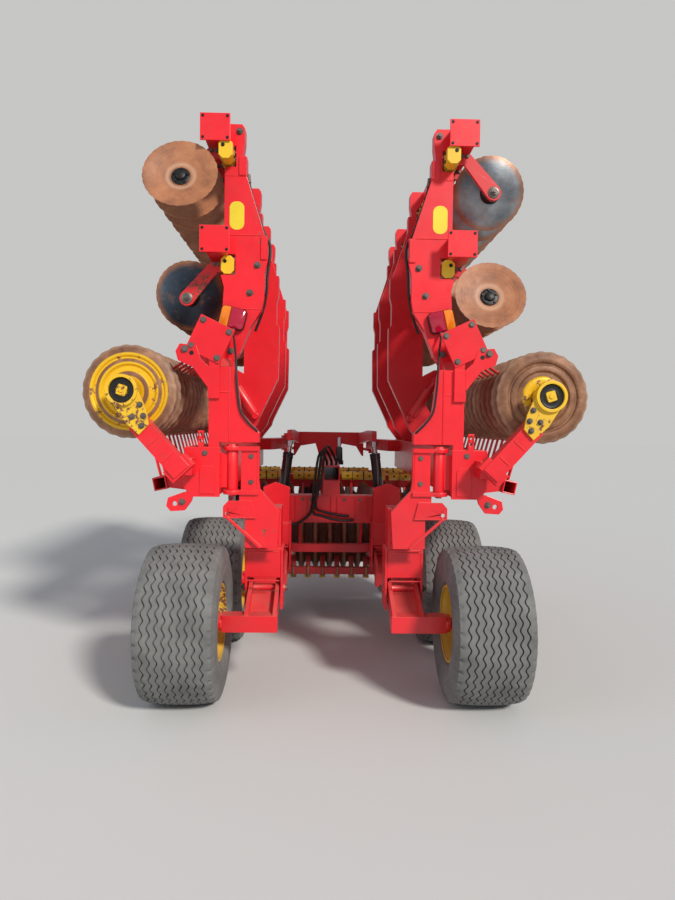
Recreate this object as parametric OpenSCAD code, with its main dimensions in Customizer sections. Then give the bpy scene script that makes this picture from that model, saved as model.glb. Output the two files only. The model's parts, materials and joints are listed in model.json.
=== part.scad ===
/* [Overall] */
// Length from the rear tyres' back to the front of the tow eye
total_l = 7800; // [7700:20:8200]
// Middle of the machine to the middle of a tyre
track_half = 880; // [875:5:900]

/* [Wheels] */
// Radius of a tyre
tyre_r = 465; // [460:1:470]
// Width of a tyre
tyre_w = 460; // [440:5:470]
// Radius of the rim's bead seat
rim_r = 216; // [205:1:225]
// Distance between the rear and the front axle
axle_gap = 1160; // [1120:10:1200]
// Radius of a wheel spindle
spindle_r = 35; // [30:1:40]
// Side of the square axle tube
axle_w = 100; // [90:2:110]

/* [Legs] */
// Middle of the machine to a leg's inner side
leg_x = 322; // [315:1:330]
// Width of a leg across the machine
leg_w = 240; // [230:2:250]
// Depth of a leg along the machine
leg_d = 200; // [180:5:220]
// Height of a leg's lower end
leg_bottom = 485; // [480:1:495]
// Height where the lower cheeks end
cheek_top = 867; // [850:1:880]
// Height of the leg's square top
leg_top = 1130; // [1110:5:1140]
// Thickness of the leg's plates
leg_plate = 15; // [12:1:18]
// Distance from the axle forward to the wheel arm's pivot
arm_reach = 310; // [300:5:330]
// Height of the wheel arm's pivot
arm_pivot_z = 600; // [590:5:620]
// Radius of the wheel arm's pivot pin
arm_pin_r = 25; // [20:1:28]

/* [Tip hinge] */
// Middle of the machine to the axis of the upright hinge
hinge_x = 628; // [622:1:634]
// Distance from the rear axle forward to the upright hinge
hinge_fwd = 80; // [60:5:100]
// Radius of the hinge tube
hinge_r = 35; // [32:1:38]
// Radius of the hinge pin
hinge_pin_r = 20; // [16:1:24]
// Radius of the collars round the pin
collar_r = 55; // [50:1:58]
// Lower end of the hinge tube
hinge_z = 1250; // [1245:1:1260]
// Length of the hinge tube
hinge_l = 240; // [230:1:245]
// Thickness of a collar
collar_t = 25; // [20:1:28]

/* [Wing] */
// Width of the wing's main beam across the machine
main_w = 200; // [180:5:210]
// Height of the wing's main beam
main_h = 285; // [270:5:290]
// Middle of the machine to the main beam's inner side
main_x = 695; // [692:1:700]
// Height of the main beam's underside
main_z = 1225; // [1222:1:1230]
// Wall of the main beam
main_wall = 10; // [8:1:14]
// Middle of the machine to the middle of a disc beam
beam_x = 745; // [740:1:750]
// Height of the rear disc row's beam
low_beam_z = 2753; // [2740:1:2765]
// Distance between the two disc beams
row_gap = 657; // [640:1:670]
// Side of a square disc beam
beam_w = 130; // [120:2:134]
// Wall of a disc beam
beam_wall = 10; // [8:1:12]
// Length of a wing's disc beam
beam_l = 3100; // [3080:5:3120]
// Thickness of a rib
rib_t = 90; // [80:1:94]
// Middle of the machine to the king pin
king_x = 470; // [465:1:480]
// Distance from the disc beams' front ends to the king pin
king_fwd = 300; // [290:5:310]
// Radius of the king pin
king_r = 30; // [25:1:35]

/* [Discs] */
// Radius of a disc
disc_r = 225; // [215:1:228]
// Dish depth of a disc
disc_dish = 38; // [30:1:42]
// Thickness of a disc
disc_t = 6; // [4:1:8]
// Distance between two discs of a row
disc_gap = 250; // [246:1:250]
// Discs on a wing row
disc_count = 12; // [10:1:12]
// Angle between a disc's axis and its beam
disc_toe = 17; // [14:1:18]
// Reach of the disc's middle out from its beam
disc_out = 205; // [200:1:210]
// Drop of the disc's middle behind its beam
disc_drop = 315; // [310:1:325]
// Distance from the arm's middle to the disc along the hub
hub_l = 85; // [80:1:95]
// Radius of a disc's hub
hub_r = 48; // [44:1:52]
// Thickness of a disc arm
arm_t = 25; // [20:1:28]

/* [Rollers] */
// Middle of the machine to the wing roller's axis
roller_x = 1215; // [1212:1:1220]
// Height of the wing roller's axis
roller_z = 1830; // [1825:1:1840]
// Outer radius of a roller
roller_r = 275; // [268:1:278]
// Radius of the roller's drum between the rings
drum_r = 200; // [190:1:210]
// Distance between two rings
ring_gap = 127; // [124:1:130]
// Rings on a wing roller
ring_count = 24; // [22:1:24]
// Rings on the centre roller
centre_ring_count = 15; // [13:1:15]
// Distance of the wing roller's rear end behind the upright hinge
roller_back = 135; // [125:1:145]
// Distance of the centre roller's axis behind the king pin
centre_roller_back = 1300; // [1290:1:1310]
// Height of the centre roller's axis
centre_roller_z = 600; // [590:1:610]
// Radius of a roller's shaft
shaft_r = 30; // [26:1:34]
// Radius of a bearing housing
bearing_r = 90; // [84:1:94]

/* [Centre] */
// Half the width of the centre section's disc beams
centre_half = 1000; // [990:5:1010]
// Middle of the machine to the end of the headstock
head_half = 400; // [390:2:405]
// Height of the headstock's top
head_top = 1570; // [1560:2:1580]
// Height of the drawbar's middle
pole_z = 800; // [780:5:820]
// Height of the drawbar's box
pole_h = 220; // [200:5:240]
// Width of the drawbar's box
pole_w = 180; // [160:5:200]
// Radius of the tow eye's hole
eye_hole_r = 25; // [20:0.5:30]
// Outer radius of the tow eye
eye_r = 62; // [56:1:68]
// Distance of the parking stand behind the tow eye's front
stand_back = 855; // [800:5:950]

/* [Hidden] */
$fn = 32;

LEFT = -1;
RIGHT = 1;
// Gap between pieces of one body that seat on each other
seat = 0.3;
// Radial running clearance of a shaft in its bore
running = 0.05;
// Clearance between pieces that pass each other
clear = 8;

rear_axle_y = -total_l / 2 + tyre_r;
front_axle_y = rear_axle_y + axle_gap;
axle_z = tyre_r;
hinge_y = rear_axle_y + hinge_fwd;
leg_x2 = leg_x + leg_w;
tip_leg_y = rear_axle_y + arm_reach - leg_d / 2;
centre_leg_y = front_axle_y + arm_reach - leg_d / 2;
block_y = hinge_y - 50;
high_beam_z = low_beam_z + row_gap;
beam_y = hinge_y;
beam_y2 = beam_y + beam_l;
king_y = beam_y2 + king_fwd;
centre_roller_y = centre_roller_back - king_y;
roller_end = roller_back - hinge_y;
stand_y = total_l / 2 - stand_back;
roller_l = (ring_count - 1) * ring_gap + 60;
king_z = 1450;

red = [0.80, 0.03, 0.05];
dark_red = [0.55, 0.02, 0.08];
yellow = [0.95, 0.65, 0.02];
rust = [0.40, 0.20, 0.12];
black = [0.03, 0.03, 0.03];
grey = [0.25, 0.25, 0.25];
silver = [0.75, 0.76, 0.78];

// Disc rows of a wing: beam height, first arm behind the beam's rear end,
// concave side on the left wing and on the right wing (-1 faces the rear)
R_Z = 0;
R_FIRST = 1;
R_LEFT = 2;
R_RIGHT = 3;
wing_rows = [
    [high_beam_z, 105, -1, 1],
    [low_beam_z, 105 + disc_gap / 2, 1, -1]
];
// Middle of the rear rib, between two arms, and of the ribs ahead of it
rear_rib_y = beam_y + wing_rows[0][R_FIRST] + disc_gap / 4;
inner_ribs = [for (k = [9, 17, 22]) rear_rib_y + k * disc_gap / 2];

// Disc rows of the centre section: beam ahead of the middle, first arm from
// the left end, side that the concave face turns to (-1 is left)
centre_beam_z = centre_roller_z + 470;
centre_rows = [
    [king_y + 280, 105, -1],
    [king_y + 280 - row_gap, 105 + disc_gap / 2, 1]
];

// Box from its low and high corner along each axis
module block(x, y, z) {
    translate([x[0], y[0], z[0]]) cube([x[1] - x[0], y[1] - y[0], z[1] - z[0]]);
}

// Outline in X and Z, carried along Y
module along_y(y, t) {
    translate([0, y + t, 0]) rotate([90, 0, 0]) linear_extrude(t) children();
}

// Outline in Y and Z, carried along X
module along_x(x, t) {
    translate([x, 0, 0]) rotate([90, 0, 90]) linear_extrude(t) children();
}

// Lays the Z axis of the children from p to q
module aim(p, q) {
    d = q - p;
    translate(p) rotate([0, acos(d[2] / norm(d)), atan2(d[1], d[0])]) children();
}

module rod(p, q, r) {
    aim(p, q) cylinder(h = norm(q - p), r = r);
}

// Flat bar of width w in the plane of its slope and thickness t across it
module bar(p, q, w, t) {
    aim(p, q) translate([-w / 2, -t / 2, 0]) cube([w, t, norm(q - p)]);
}

// Square tube along Y, open at both ends
module tube_y(x, z, w, y, wall) {
    difference() {
        block([x - w / 2, x + w / 2], y, [z - w / 2, z + w / 2]);
        block(
            [x - w / 2 + wall, x + w / 2 - wall], [y[0] - 1, y[1] + 1],
            [z - w / 2 + wall, z + w / 2 - wall]
        );
    }
}

// Square tube along X, open at both ends
module tube_x(y, z, w, x, wall) {
    difference() {
        block(x, [y - w / 2, y + w / 2], [z - w / 2, z + w / 2]);
        block(
            [x[0] - 1, x[1] + 1], [y - w / 2 + wall, y + w / 2 - wall],
            [z - w / 2 + wall, z + w / 2 - wall]
        );
    }
}

// The right-hand shape, or its mirror image on the left
module on(side) {
    mirror([side < 0 ? 1 : 0, 0, 0]) children();
}

// Tyre about the X axis, with round shoulders
module tyre_shape() {
    shoulder = 45;
    half = tyre_w / 2;
    outline = concat(
        [[-half + 42, rim_r], [half - 42, rim_r], [half - 42, rim_r + 18], [half - 12, rim_r + 50], [half, rim_r + 125]],
        [for (a = [0:30:90]) [half - 12 - shoulder + shoulder * cos(a), tyre_r - 12 - shoulder + shoulder * sin(a)]],
        [[0, tyre_r]],
        [for (a = [90:30:180]) [-half + 12 + shoulder + shoulder * cos(a), tyre_r - 12 - shoulder + shoulder * sin(a)]],
        [[-half, rim_r + 125], [-half + 12, rim_r + 50], [-half + 42, rim_r + 18]]
    );
    rotate([90, 0, 90]) rotate_extrude($fn = 64) polygon([for (p = outline) [p[1], p[0]]]);
}

// Rim about the X axis, with its dished disc towards the outside and its hub
module rim_shape() {
    half = tyre_w / 2 - 42;
    r = rim_r - seat;
    hub_out = 75;
    dish = 60;
    outline = [
        [-half - 10, r + 14], [-half - 10, r + 2], [-half + 25, r - 12], [-90, r - 12], [-60, r - 40],
        [dish - 20, r - 40], [dish, r - 70], [dish + 20, hub_out + 40], [20, hub_out], [-120, hub_out],
        [-120, spindle_r + running], [dish + 60, spindle_r + running], [dish + 60, hub_out - 10],
        [dish + 40, hub_out + 35], [dish + 20, r - 60], [dish + 45, r - 28], [half - 25, r],
        [half + 10, r + 2], [half + 10, r + 14], [half + seat, r + 14], [half + seat, r],
        [-half - seat, r], [-half - seat, r + 14]
    ];
    rotate([90, 0, 90]) rotate_extrude($fn = 64) polygon([for (p = outline) [p[1], p[0]]]);
}

module tyre(side, y) {
    color(grey) on(side) translate([track_half, y, axle_z]) tyre_shape();
}

module rim(side, y) {
    color(yellow) on(side) translate([track_half, y, axle_z]) rim_shape();
}

// Wheel arm with its pivot pin, its square axle tube and the wheel's spindle;
// y is the axle's place
module wheel_arm(y) {
    pivot = [y + arm_reach, arm_pivot_z];
    inner = leg_x + leg_plate + clear;
    outer = leg_x2 - leg_plate - clear;
    lug_t = 25;
    tube_end = track_half - tyre_w / 2 + 20;
    half = axle_w / 2;
    for (x = [inner, outer - lug_t]) {
        along_x(x, lug_t) difference() {
            union() {
                polygon([
                    [y - half, axle_z + half], [y - half, axle_z - half], [y + half, axle_z - half],
                    [pivot[0] + 10, pivot[1] - 62], [pivot[0], pivot[1] + 62]
                ]);
                translate(pivot) circle(62);
            }
            translate([y, axle_z]) square(axle_w, center = true);
        }
    }
    along_x(inner + lug_t, outer - inner - 2 * lug_t) polygon([
        [y + half, axle_z + half - 12], [y + half, axle_z - half + 12],
        [pivot[0] - 40, pivot[1] - 52], [pivot[0] - 45, pivot[1] - 12]
    ]);
    block([inner - 5, tube_end], [y - half, y + half], [axle_z - half, axle_z + half]);
    translate([tube_end, y, axle_z]) rotate([0, 90, 0])
        cylinder(h = track_half + 100 - tube_end, r = spindle_r);
    translate([tube_end, y, axle_z]) rotate([0, 90, 0]) cylinder(h = 25, r = spindle_r + 20);
    translate([leg_x - 12, pivot[0], pivot[1]]) rotate([0, 90, 0])
        cylinder(h = leg_w + 24, r = arm_pin_r);
}

// Lower part of a leg: a channel open to the rear, its cheeks drilled for the
// arm's pin, under the closed box; y is the leg's rear face
module leg_shape(y, pivot_y) {
    difference() {
        union() {
            for (x = [leg_x, leg_x2 - leg_plate])
                block([x, x + leg_plate], [y, y + leg_d], [leg_bottom, cheek_top]);
            block([leg_x, leg_x2], [y + leg_d - leg_plate, y + leg_d], [arm_pivot_z + 90, cheek_top]);
            block([leg_x, leg_x2], [y + 4, y + leg_plate + 4], [arm_pivot_z + 90, cheek_top]);
            block(
                [leg_x + leg_plate, leg_x2 - leg_plate], [y + 10, y + leg_d - 10],
                [cheek_top - 40, leg_top]
            );
        }
        translate([leg_x - 1, pivot_y, arm_pivot_z]) rotate([0, 90, 0])
            cylinder(h = leg_w + 2, r = arm_pin_r + seat);
    }
}

module centre_legs() {
    color(red) for (side = [LEFT, RIGHT]) on(side) {
        leg_shape(centre_leg_y, front_axle_y + arm_reach);
        along_y(centre_leg_y + 10, leg_plate) polygon([
            [leg_x + leg_plate, leg_top - 1], [leg_x2 - leg_plate, leg_top - 1],
            [leg_x2 - leg_plate, leg_top + 20], [leg_x + 130, leg_top + 60], [leg_x + leg_plate, leg_top + 20]
        ]);
    }
}

module centre_wheel_arms() {
    color(red) for (side = [LEFT, RIGHT]) on(side) wheel_arm(front_axle_y);
}

// Leg at the wing's tip: below the upright hinge, with both collars, the pin,
// the head plate between them, the lock plate and its slanting gusset
module tip_leg(side) {
    head_t = 40;
    head_x = hinge_x - 164;
    top_z = hinge_z + hinge_l + seat;
    low_z = hinge_z - seat - collar_t;
    shelf_z = leg_top - 30;
    color(red) on(side) {
        leg_shape(tip_leg_y, rear_axle_y + arm_reach);
        difference() {
            union() {
                along_y(hinge_y - head_t / 2, head_t) polygon([
                    [leg_x + 30, shelf_z - 200], [leg_x + 15, shelf_z + 25], [head_x - 8, low_z + 30],
                    [head_x, low_z + 80], [head_x, top_z + collar_t], [hinge_x - collar_r + 10, top_z + collar_t],
                    [hinge_x - collar_r + 10, low_z - 40], [leg_x2 - leg_plate, low_z - 90],
                    [leg_x2 - leg_plate, shelf_z - 200]
                ]);
                for (z = [low_z, top_z]) {
                    translate([hinge_x, hinge_y, z]) cylinder(h = collar_t, r = collar_r);
                    block([head_x, hinge_x], [hinge_y - 38, hinge_y + 38], [z, z + collar_t]);
                }
            }
            translate([hinge_x, hinge_y, low_z + 1]) cylinder(h = top_z - low_z, r = hinge_pin_r + 12);
            block(
                [hinge_x - collar_r, hinge_x + collar_r], [hinge_y - collar_r, hinge_y + collar_r],
                [hinge_z - seat, top_z]
            );
        }
        translate([hinge_x, hinge_y, low_z - 12])
            cylinder(h = top_z - low_z + collar_t + 24, r = hinge_pin_r);
        translate([hinge_x, hinge_y, top_z + collar_t]) cylinder(h = 12, r = hinge_pin_r + 14);
        for (z = [low_z, top_z]) translate([hinge_x, hinge_y, z]) cylinder(h = collar_t, r = hinge_pin_r + 13);
        block([leg_x + 30, leg_x2 - leg_plate], [hinge_y, tip_leg_y + 12], [shelf_z, leg_top]);
        for (x = [leg_x + 30, leg_x2 - 2 * leg_plate])
            along_x(x, leg_plate) polygon([
                [hinge_y, shelf_z - 120], [hinge_y, leg_top], [tip_leg_y + 12, leg_top],
                [tip_leg_y + 12, shelf_z - 200]
            ]);
        along_y(hinge_y - head_t / 2 - leg_plate, leg_plate + 1) difference() {
            polygon([
                [hinge_x - 150, leg_top - 46], [hinge_x + 50, leg_top - 46], [hinge_x + 50, low_z - 72],
                [hinge_x + 20, low_z - 38], [hinge_x - 125, low_z - 38]
            ]);
            translate([hinge_x + 25, leg_top - 20]) circle(12);
        }
        bar([leg_x + 130, hinge_y - head_t / 2 - 14, 905], [hinge_x + 24, hinge_y - head_t / 2 - 14, leg_top - 42], 14, 30);
    }
}

module tip_wheel_arm(side) {
    color(red) on(side) wheel_arm(rear_axle_y);
}

// Clamps in end view: octagon under the beam's inner corner
clamp_w = 83;
clamp_h = 112;
clamp_off = 60;
clamp_l = 450;
cap_w = 180;
cap_h = 160;
cap_t = 10;

module clamp_outline() {
    w = clamp_w / 2;
    h = clamp_h / 2;
    c = 22;
    polygon([
        [-w, -h + c], [-w + c, -h], [w - c, -h], [w, -h + c],
        [w, h - c], [w - c, h], [-w + c, h], [-w, h - c]
    ]);
}

// Arm in end view, measured from the beam's middle
module arm_outline() {
    half = beam_w / 2;
    near = -clamp_off + clamp_w / 2;
    polygon([
        [near, -half - 85], [near, -half - 25], [58, -half - 22],
        [disc_out + 34, -disc_drop + 34], [disc_out - 34, -disc_drop - 34], [18, -half - 85]
    ]);
    translate([disc_out, -disc_drop]) circle(hub_r);
}

// Disc about the Z axis: its middle at the origin, dished upwards
module disc_shape() {
    seat_r = 62;
    steps = 5;
    back = [for (i = [0:steps])
        let (k = i / steps) [seat_r + (disc_r - seat_r) * k, disc_dish * k * (0.55 + 0.45 * k)]];
    front = [for (i = [steps:-1:0]) [back[i][0], back[i][1] + (i == steps ? disc_t / 3 : disc_t)]];
    rotate_extrude($fn = 64) polygon(concat([[0, 0]], back, front, [[0, disc_t]]));
}

// Places children at a disc's middle, Z along the concave side's direction;
// face is -1 where the concave side looks back along the beam
module at_disc(z, arm_y, face) {
    translate([beam_x + disc_out, arm_y, z - disc_drop])
        rotate([face * (disc_toe - 90), 0, 0]) translate([0, 0, hub_l]) children();
}

function arm_places(row) = [for (i = [0:disc_count - 1]) beam_y + row[R_FIRST] + i * disc_gap];
function face_of(row, side) = side < 0 ? row[R_LEFT] : row[R_RIGHT];

module wing_beams(side) {
    color(red) on(side) for (row = wing_rows) {
        tube_y(beam_x, row[R_Z], beam_w, [beam_y, beam_y2], beam_wall);
        for (y = [beam_y - cap_t, beam_y2 + seat])
            block(
                [beam_x - cap_w / 2, beam_x + cap_w / 2], [y, y + cap_t],
                [row[R_Z] - cap_h / 2, row[R_Z] + cap_h / 2]
            );
    }
}

module wing_clamps(side) {
    color(yellow) on(side) for (row = wing_rows)
        for (i = [0:2:disc_count - 2])
            translate([beam_x - clamp_off, 0, row[R_Z] - beam_w / 2 - clamp_h / 2])
                along_y(beam_y + row[R_FIRST] + (i + 0.5) * disc_gap - clamp_l / 2, clamp_l) clamp_outline();
}

module wing_arms(side) {
    color(red) on(side) for (row = wing_rows, y = arm_places(row))
        translate([beam_x, 0, row[R_Z]]) along_y(y - arm_t / 2, arm_t) arm_outline();
}

// Hub from the arm to the disc's back, cut square to the arm, and its cap in
// the dish
module hub_shape(z, arm_y, face) {
    difference() {
        at_disc(z, arm_y, face) translate([0, 0, -hub_l - 10]) cylinder(h = hub_l + 10, r = hub_r);
        translate([beam_x + disc_out - 100, face < 0 ? arm_y - arm_t / 2 : arm_y + arm_t / 2 - 200, z - disc_drop - 100])
            cube([200, 200, 200]);
    }
    at_disc(z, arm_y, face) translate([0, 0, disc_t]) cylinder(h = 26, r1 = hub_r - 4, r2 = hub_r - 12);
}

module wing_hubs(side) {
    color(black) on(side) for (row = wing_rows, y = arm_places(row)) hub_shape(row[R_Z], y, face_of(row, side));
}

module wing_discs(side) {
    color(rust) on(side) for (row = wing_rows, y = arm_places(row))
        at_disc(row[R_Z], y, face_of(row, side)) disc_shape();
}

main_x2 = main_x + main_w;
main_z2 = main_z + main_h;
main_y2 = king_y - 345;
lug_top = high_beam_z + beam_w / 2;
// Ribs stay inside the discs' reach
rib_out = beam_x + disc_out - disc_r - 20;

// Comb bar over the wing roller
comb_x = roller_x - 343;
comb_z = roller_z + 236;
comb_w = 70;

// Head of a rib over the upper beam, outer side first, and its inner side down
// to the lower clamps
rib_head = [
    [beam_x - 162, lug_top - 15], [beam_x - 145, lug_top + 8], [beam_x - 45, lug_top + 8],
    [beam_x - 45, high_beam_z - 70], [rib_out, high_beam_z - 130]
];
rib_side = [
    [beam_x - 308, low_beam_z - 93], [beam_x - 308, low_beam_z + 57], [beam_x - 289, low_beam_z + 60],
    [beam_x - 175, high_beam_z - 240], [beam_x - 175, high_beam_z - 120], [beam_x - 150, high_beam_z - 117],
    [beam_x - 162, high_beam_z - 30]
];

// Rear rib from the upper disc beam down to the post over the hinge
module rear_rib_outline() {
    polygon(concat(rib_head, [
        [rib_out, low_beam_z + 60], [rib_out + 28, low_beam_z], [rib_out + 28, low_beam_z - 160],
        [rib_out, low_beam_z - 260], [rib_out + 10, 2330], [766, 2180], [766, 1900], [720, 1870], [650, 1870],
        [640, 2040], [605, 2087], [539, 2250], [470, 2360], [456, 2430], [456, 2580]
    ], rib_side));
}

// Inner rib: bulges towards the middle, holds the comb bar and stands on the
// main beam
module inner_rib_outline() {
    lug_x = comb_x - comb_w / 2 - seat;
    polygon(concat(rib_head, [
        [rib_out, comb_z - 20], [lug_x - 40, comb_z + 30], [lug_x, comb_z + 30], [lug_x, comb_z - 90],
        [rib_out + 15, 1850], [main_x2 - 35, 1600], [main_x2 - 35, main_z2 + seat], [main_x + 5, main_z2 + seat],
        [600, 1640], [586, 1690], [435, 2010], [430, 2300], [430, 2420], [452, 2440], [452, 2600]
    ], rib_side));
}

// Room that the beams and the clamp rows take from a rib
module rib_room() {
    for (z = [low_beam_z, high_beam_z]) {
        translate([beam_x, z]) square(beam_w, center = true);
        translate([beam_x - clamp_off, z - beam_w / 2 - clamp_h / 2])
            square([clamp_w + 2 * clear, clamp_h + 2 * clear], center = true);
    }
}

// King arm in plan, from the main beam's side to the king pin
module king_arm_outline() {
    polygon([
        [main_x, main_y2 - 380], [main_x, main_y2 - 20], [king_x + 52, king_y + 28],
        [king_x - 45, king_y - 40], [king_x + 60, main_y2 - 150], [king_x + 120, main_y2 - 330]
    ]);
    translate([king_x, king_y]) circle(58);
}

module wing_frame(side) {
    king_h = 110;
    color(red) on(side) difference() {
        union() {
            difference() {
                block([main_x, main_x2], [block_y, main_y2], [main_z, main_z2]);
                block(
                    [main_x + main_wall, main_x2 - main_wall], [block_y + main_wall, main_y2 + 1],
                    [main_z + main_wall, main_z2 - main_wall]
                );
            }
            along_y(block_y - 18, 18) difference() {
                union() {
                    polygon([
                        [main_x, main_z - 12], [main_x, main_z2 - 2], [main_x2 + 12, main_z2 - 2],
                        [main_x2 + 12, main_z + 40], [main_x2 - 40, main_z - 12]
                    ]);
                    polygon([
                        [main_x + 95, main_z2 - 60], [main_x + 130, main_z2 - 60],
                        [main_x + 130, main_z2 + 98], [main_x + 95, main_z2 + 98]
                    ]);
                    polygon([
                        [main_x + 150, main_z + 15], [main_x2 + 12, main_z + 15], [1000, main_z - 20],
                        [1010, main_z - 70], [985, main_z - 100], [900, main_z - 95], [860, main_z - 40]
                    ]);
                }
                for (z = [main_z2 + 35, main_z2 + 75]) translate([main_x + 112, z]) circle(10);
                translate([960, main_z - 55]) circle(14);
            }
            translate([hinge_x, hinge_y, hinge_z]) cylinder(h = hinge_l, r = hinge_r);
            block([hinge_x, main_x + 1], [hinge_y - 18, hinge_y + 18], [hinge_z + 15, hinge_z + hinge_l - 15]);
            translate([0, 0, king_z - king_h / 2]) linear_extrude(king_h) king_arm_outline();
        }
        translate([hinge_x, hinge_y, hinge_z - 1]) cylinder(h = hinge_l + 2, r = hinge_pin_r + running);
        translate([king_x, king_y, king_z - king_h]) cylinder(h = 2 * king_h, r = king_r + running);
    }
}

// Ribs on the main beam: the rear one with the post, the lugs and the turned
// plate, and the inner ones
module wing_ribs(side) {
    color(red) on(side) {
        along_y(rear_rib_y - rib_t / 2, rib_t) difference() {
            rear_rib_outline();
            rib_room();
        }
        wing_post();
        wing_tip_lugs();
        for (y = inner_ribs) along_y(y - rib_t / 2, rib_t) difference() {
            inner_rib_outline();
            rib_room();
        }
    }
}

// Post over the hinge: it stands on the main beam's end and carries the rib
module wing_post() {
    foot_z = hinge_z + hinge_l + collar_t + 25;
    along_y(block_y + 5, 85) polygon([
        [hinge_x - 164, foot_z], [hinge_x - 164, foot_z + 58], [hinge_x - 51, 1720], [600, 1900],
        [612, 1990], [766, 1990], [766, main_z2 + seat],
        [hinge_x + collar_r + 20, main_z2 + seat], [hinge_x + collar_r + 20, foot_z]
    ]);
    along_x(655, 111) polygon([
        [block_y + 80, 1855], [rear_rib_y - 30, 1890], [rear_rib_y - 30, 2060], [block_y + 20, 1985]
    ]);
    block([656, 765], [block_y + 60, rear_rib_y], [1780, 1897]);
}

// Small drilled lugs round the beam's end, the bracket of the comb bar and
// the turned square plate
module wing_tip_lugs() {
    plate_t = 18;
    side_tilt = -25;
    along_y(block_y - plate_t, plate_t) polygon([
        [766, 1860], [766, 1990], [810, 2030], [840, 2110], [935, 2120], [960, 2075],
        [945, 2020], [860, 1985]
    ]);
    block([700, 769], [block_y - plate_t + 1, block_y + 40], [1800, 1989]);
    translate([757, block_y + 3, 2150]) rotate([0, side_tilt, 0])
        translate([-110, -16, -110]) cube([220, 16, 220]);
    block([701, 764], [block_y - 3, block_y + 45], [1950, 2148]);
}
// Wing roller's arms: a square tube from the beam's end, and its like ahead
module roller_frame(side) {
    arm_w = 110;
    low = [main_x2 - 10, 1370];
    high = [roller_x - 72, roller_z - 176];
    far_y = -roller_end + roller_l + 25;
    color(red) on(side) {
        bar([low[0], -roller_end - 65, low[1]], [high[0], -roller_end - 65, high[1]], arm_w, 100);
        bar([low[0] - 10, -roller_end - 60, low[1] - 10], [low[0] + 50, -roller_end - 60, low[1] + 53], arm_w + 50, 84);
        block(
            [main_x2 - 60, main_x2 + 10], [-roller_end - 65, block_y - 18],
            [1350, 1450]
        );
        difference() {
            bar([low[0], far_y + 50, low[1]], [high[0], far_y + 50, high[1]], arm_w, 100);
            block([main_x - 50, main_x2], [far_y - 60, far_y + 160], [main_z - 200, main_z2 + 200]);
        }
    }
}

// Yellow bearing holders on the arms' outer faces
module roller_bearings(side) {
    plate_t = 18;
    far_y = -roller_end + roller_l + 25;
    color(yellow) on(side) {
        for (y = [-roller_end - 115 - plate_t, far_y + 100]) along_y(y, plate_t) difference() {
            union() {
                polygon([
                    [roller_x - 150, roller_z - 190], [roller_x - 95, roller_z - 250],
                    [roller_x - 10, roller_z - 175], [roller_x + 75, roller_z - 50],
                    [roller_x - 60, roller_z + 70], [roller_x - 135, roller_z - 110]
                ]);
                translate([roller_x, roller_z]) circle(bearing_r);
            }
            translate([roller_x, roller_z]) circle(shaft_r + running);
        }
        for (y = [[-roller_end - 115, -roller_end - 6], [far_y - 20, far_y + 100]])
            translate([roller_x, y[1], roller_z]) rotate([90, 0, 0]) difference() {
                cylinder(h = y[1] - y[0], r = 68);
                translate([0, 0, -1]) cylinder(h = y[1] - y[0] + 2, r = shaft_r + running);
            }
        translate([roller_x, -roller_end - 115 - plate_t, roller_z]) rotate([90, 0, 0]) difference() {
            cylinder(h = 22, r = bearing_r);
            translate([0, 0, -1]) cylinder(h = 24, r = bearing_r - 18);
        }
    }
}

// Roller about the Z axis: shaft, drum and its row of rings
module roller_shape(count, end_l) {
    body_l = (count - 1) * ring_gap + 60;
    teeth = [for (i = [0:count - 1]) let (y = 30 + i * ring_gap) each [
        [drum_r, y - 28], [roller_r - 30, y - 17], [roller_r, y - 6],
        [roller_r, y + 6], [roller_r - 30, y + 17], [drum_r, y + 28]
    ]];
    rotate_extrude($fn = 64) polygon(concat(
        [[0, -end_l], [shaft_r, -end_l], [shaft_r, 8], [72, 8], [84, 0], [112, 0], [122, 12], [150, 12], [160, 0]],
        teeth,
        [
            [160, body_l], [150, body_l - 12], [122, body_l - 12], [112, body_l], [84, body_l],
            [72, body_l - 8], [shaft_r, body_l - 8], [shaft_r, body_l + end_l], [0, body_l + end_l]
        ]
    ));
}

module wing_roller(side) {
    color(rust) on(side) translate([roller_x, -roller_end, roller_z])
        rotate([-90, 0, 0]) roller_shape(ring_count, 130);
}

// Scraper bar under the roller, its brackets and a blade between each two rings
module lower_scrapers(side) {
    bar_x = 1060;
    bar_z = 1285;
    bar_tilt = 12;
    bar_w = 80;
    root = [bar_x + 15, bar_z + bar_w / 2];
    d = [roller_x, roller_z] - root;
    tip = root + d * (1 - (drum_r + clear) / norm(d));
    color(red) on(side) {
        translate([bar_x, 0, bar_z]) rotate([0, bar_tilt, 0])
            tube_y(0, 0, bar_w, [block_y + 30, -roller_end + roller_l - 20], 8);
        for (d = [60, 1005, 2005, 2785]) along_y(block_y + d, 20) polygon([
            [main_x2 + seat, main_z + 20], [bar_x - bar_w / 2 + 5, bar_z - 25],
            [bar_x - bar_w / 2 + 5, bar_z + 30], [main_x2 + seat, main_z2 - 90]
        ]);
        for (i = [0:ring_count - 2]) let (y = -roller_end + 30 + (i + 0.5) * ring_gap)
            if (y > block_y + 60) bar([root[0], y, root[1] - 6], [tip[0], y, tip[1]], 8, 40);
    }
}

// Comb bar over the roller with its fingers, on the ribs' lugs
module comb(side) {
    root = [comb_x + comb_w / 2, comb_z - 15];
    d = [roller_x, roller_z] - root;
    tip = root + d * (1 - (drum_r + clear) / norm(d));
    color(red) on(side) {
        tube_y(comb_x, comb_z, comb_w, [block_y + 3 + seat, inner_ribs[2] + 20], 8);
        for (i = [0:ring_count - 2]) let (y = -roller_end + 30 + (i + 0.5) * ring_gap)
            if (y > block_y + 30) bar([root[0] - 1, y, root[1]], [tip[0], y, tip[1]], 10, 40);
    }
}

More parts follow.
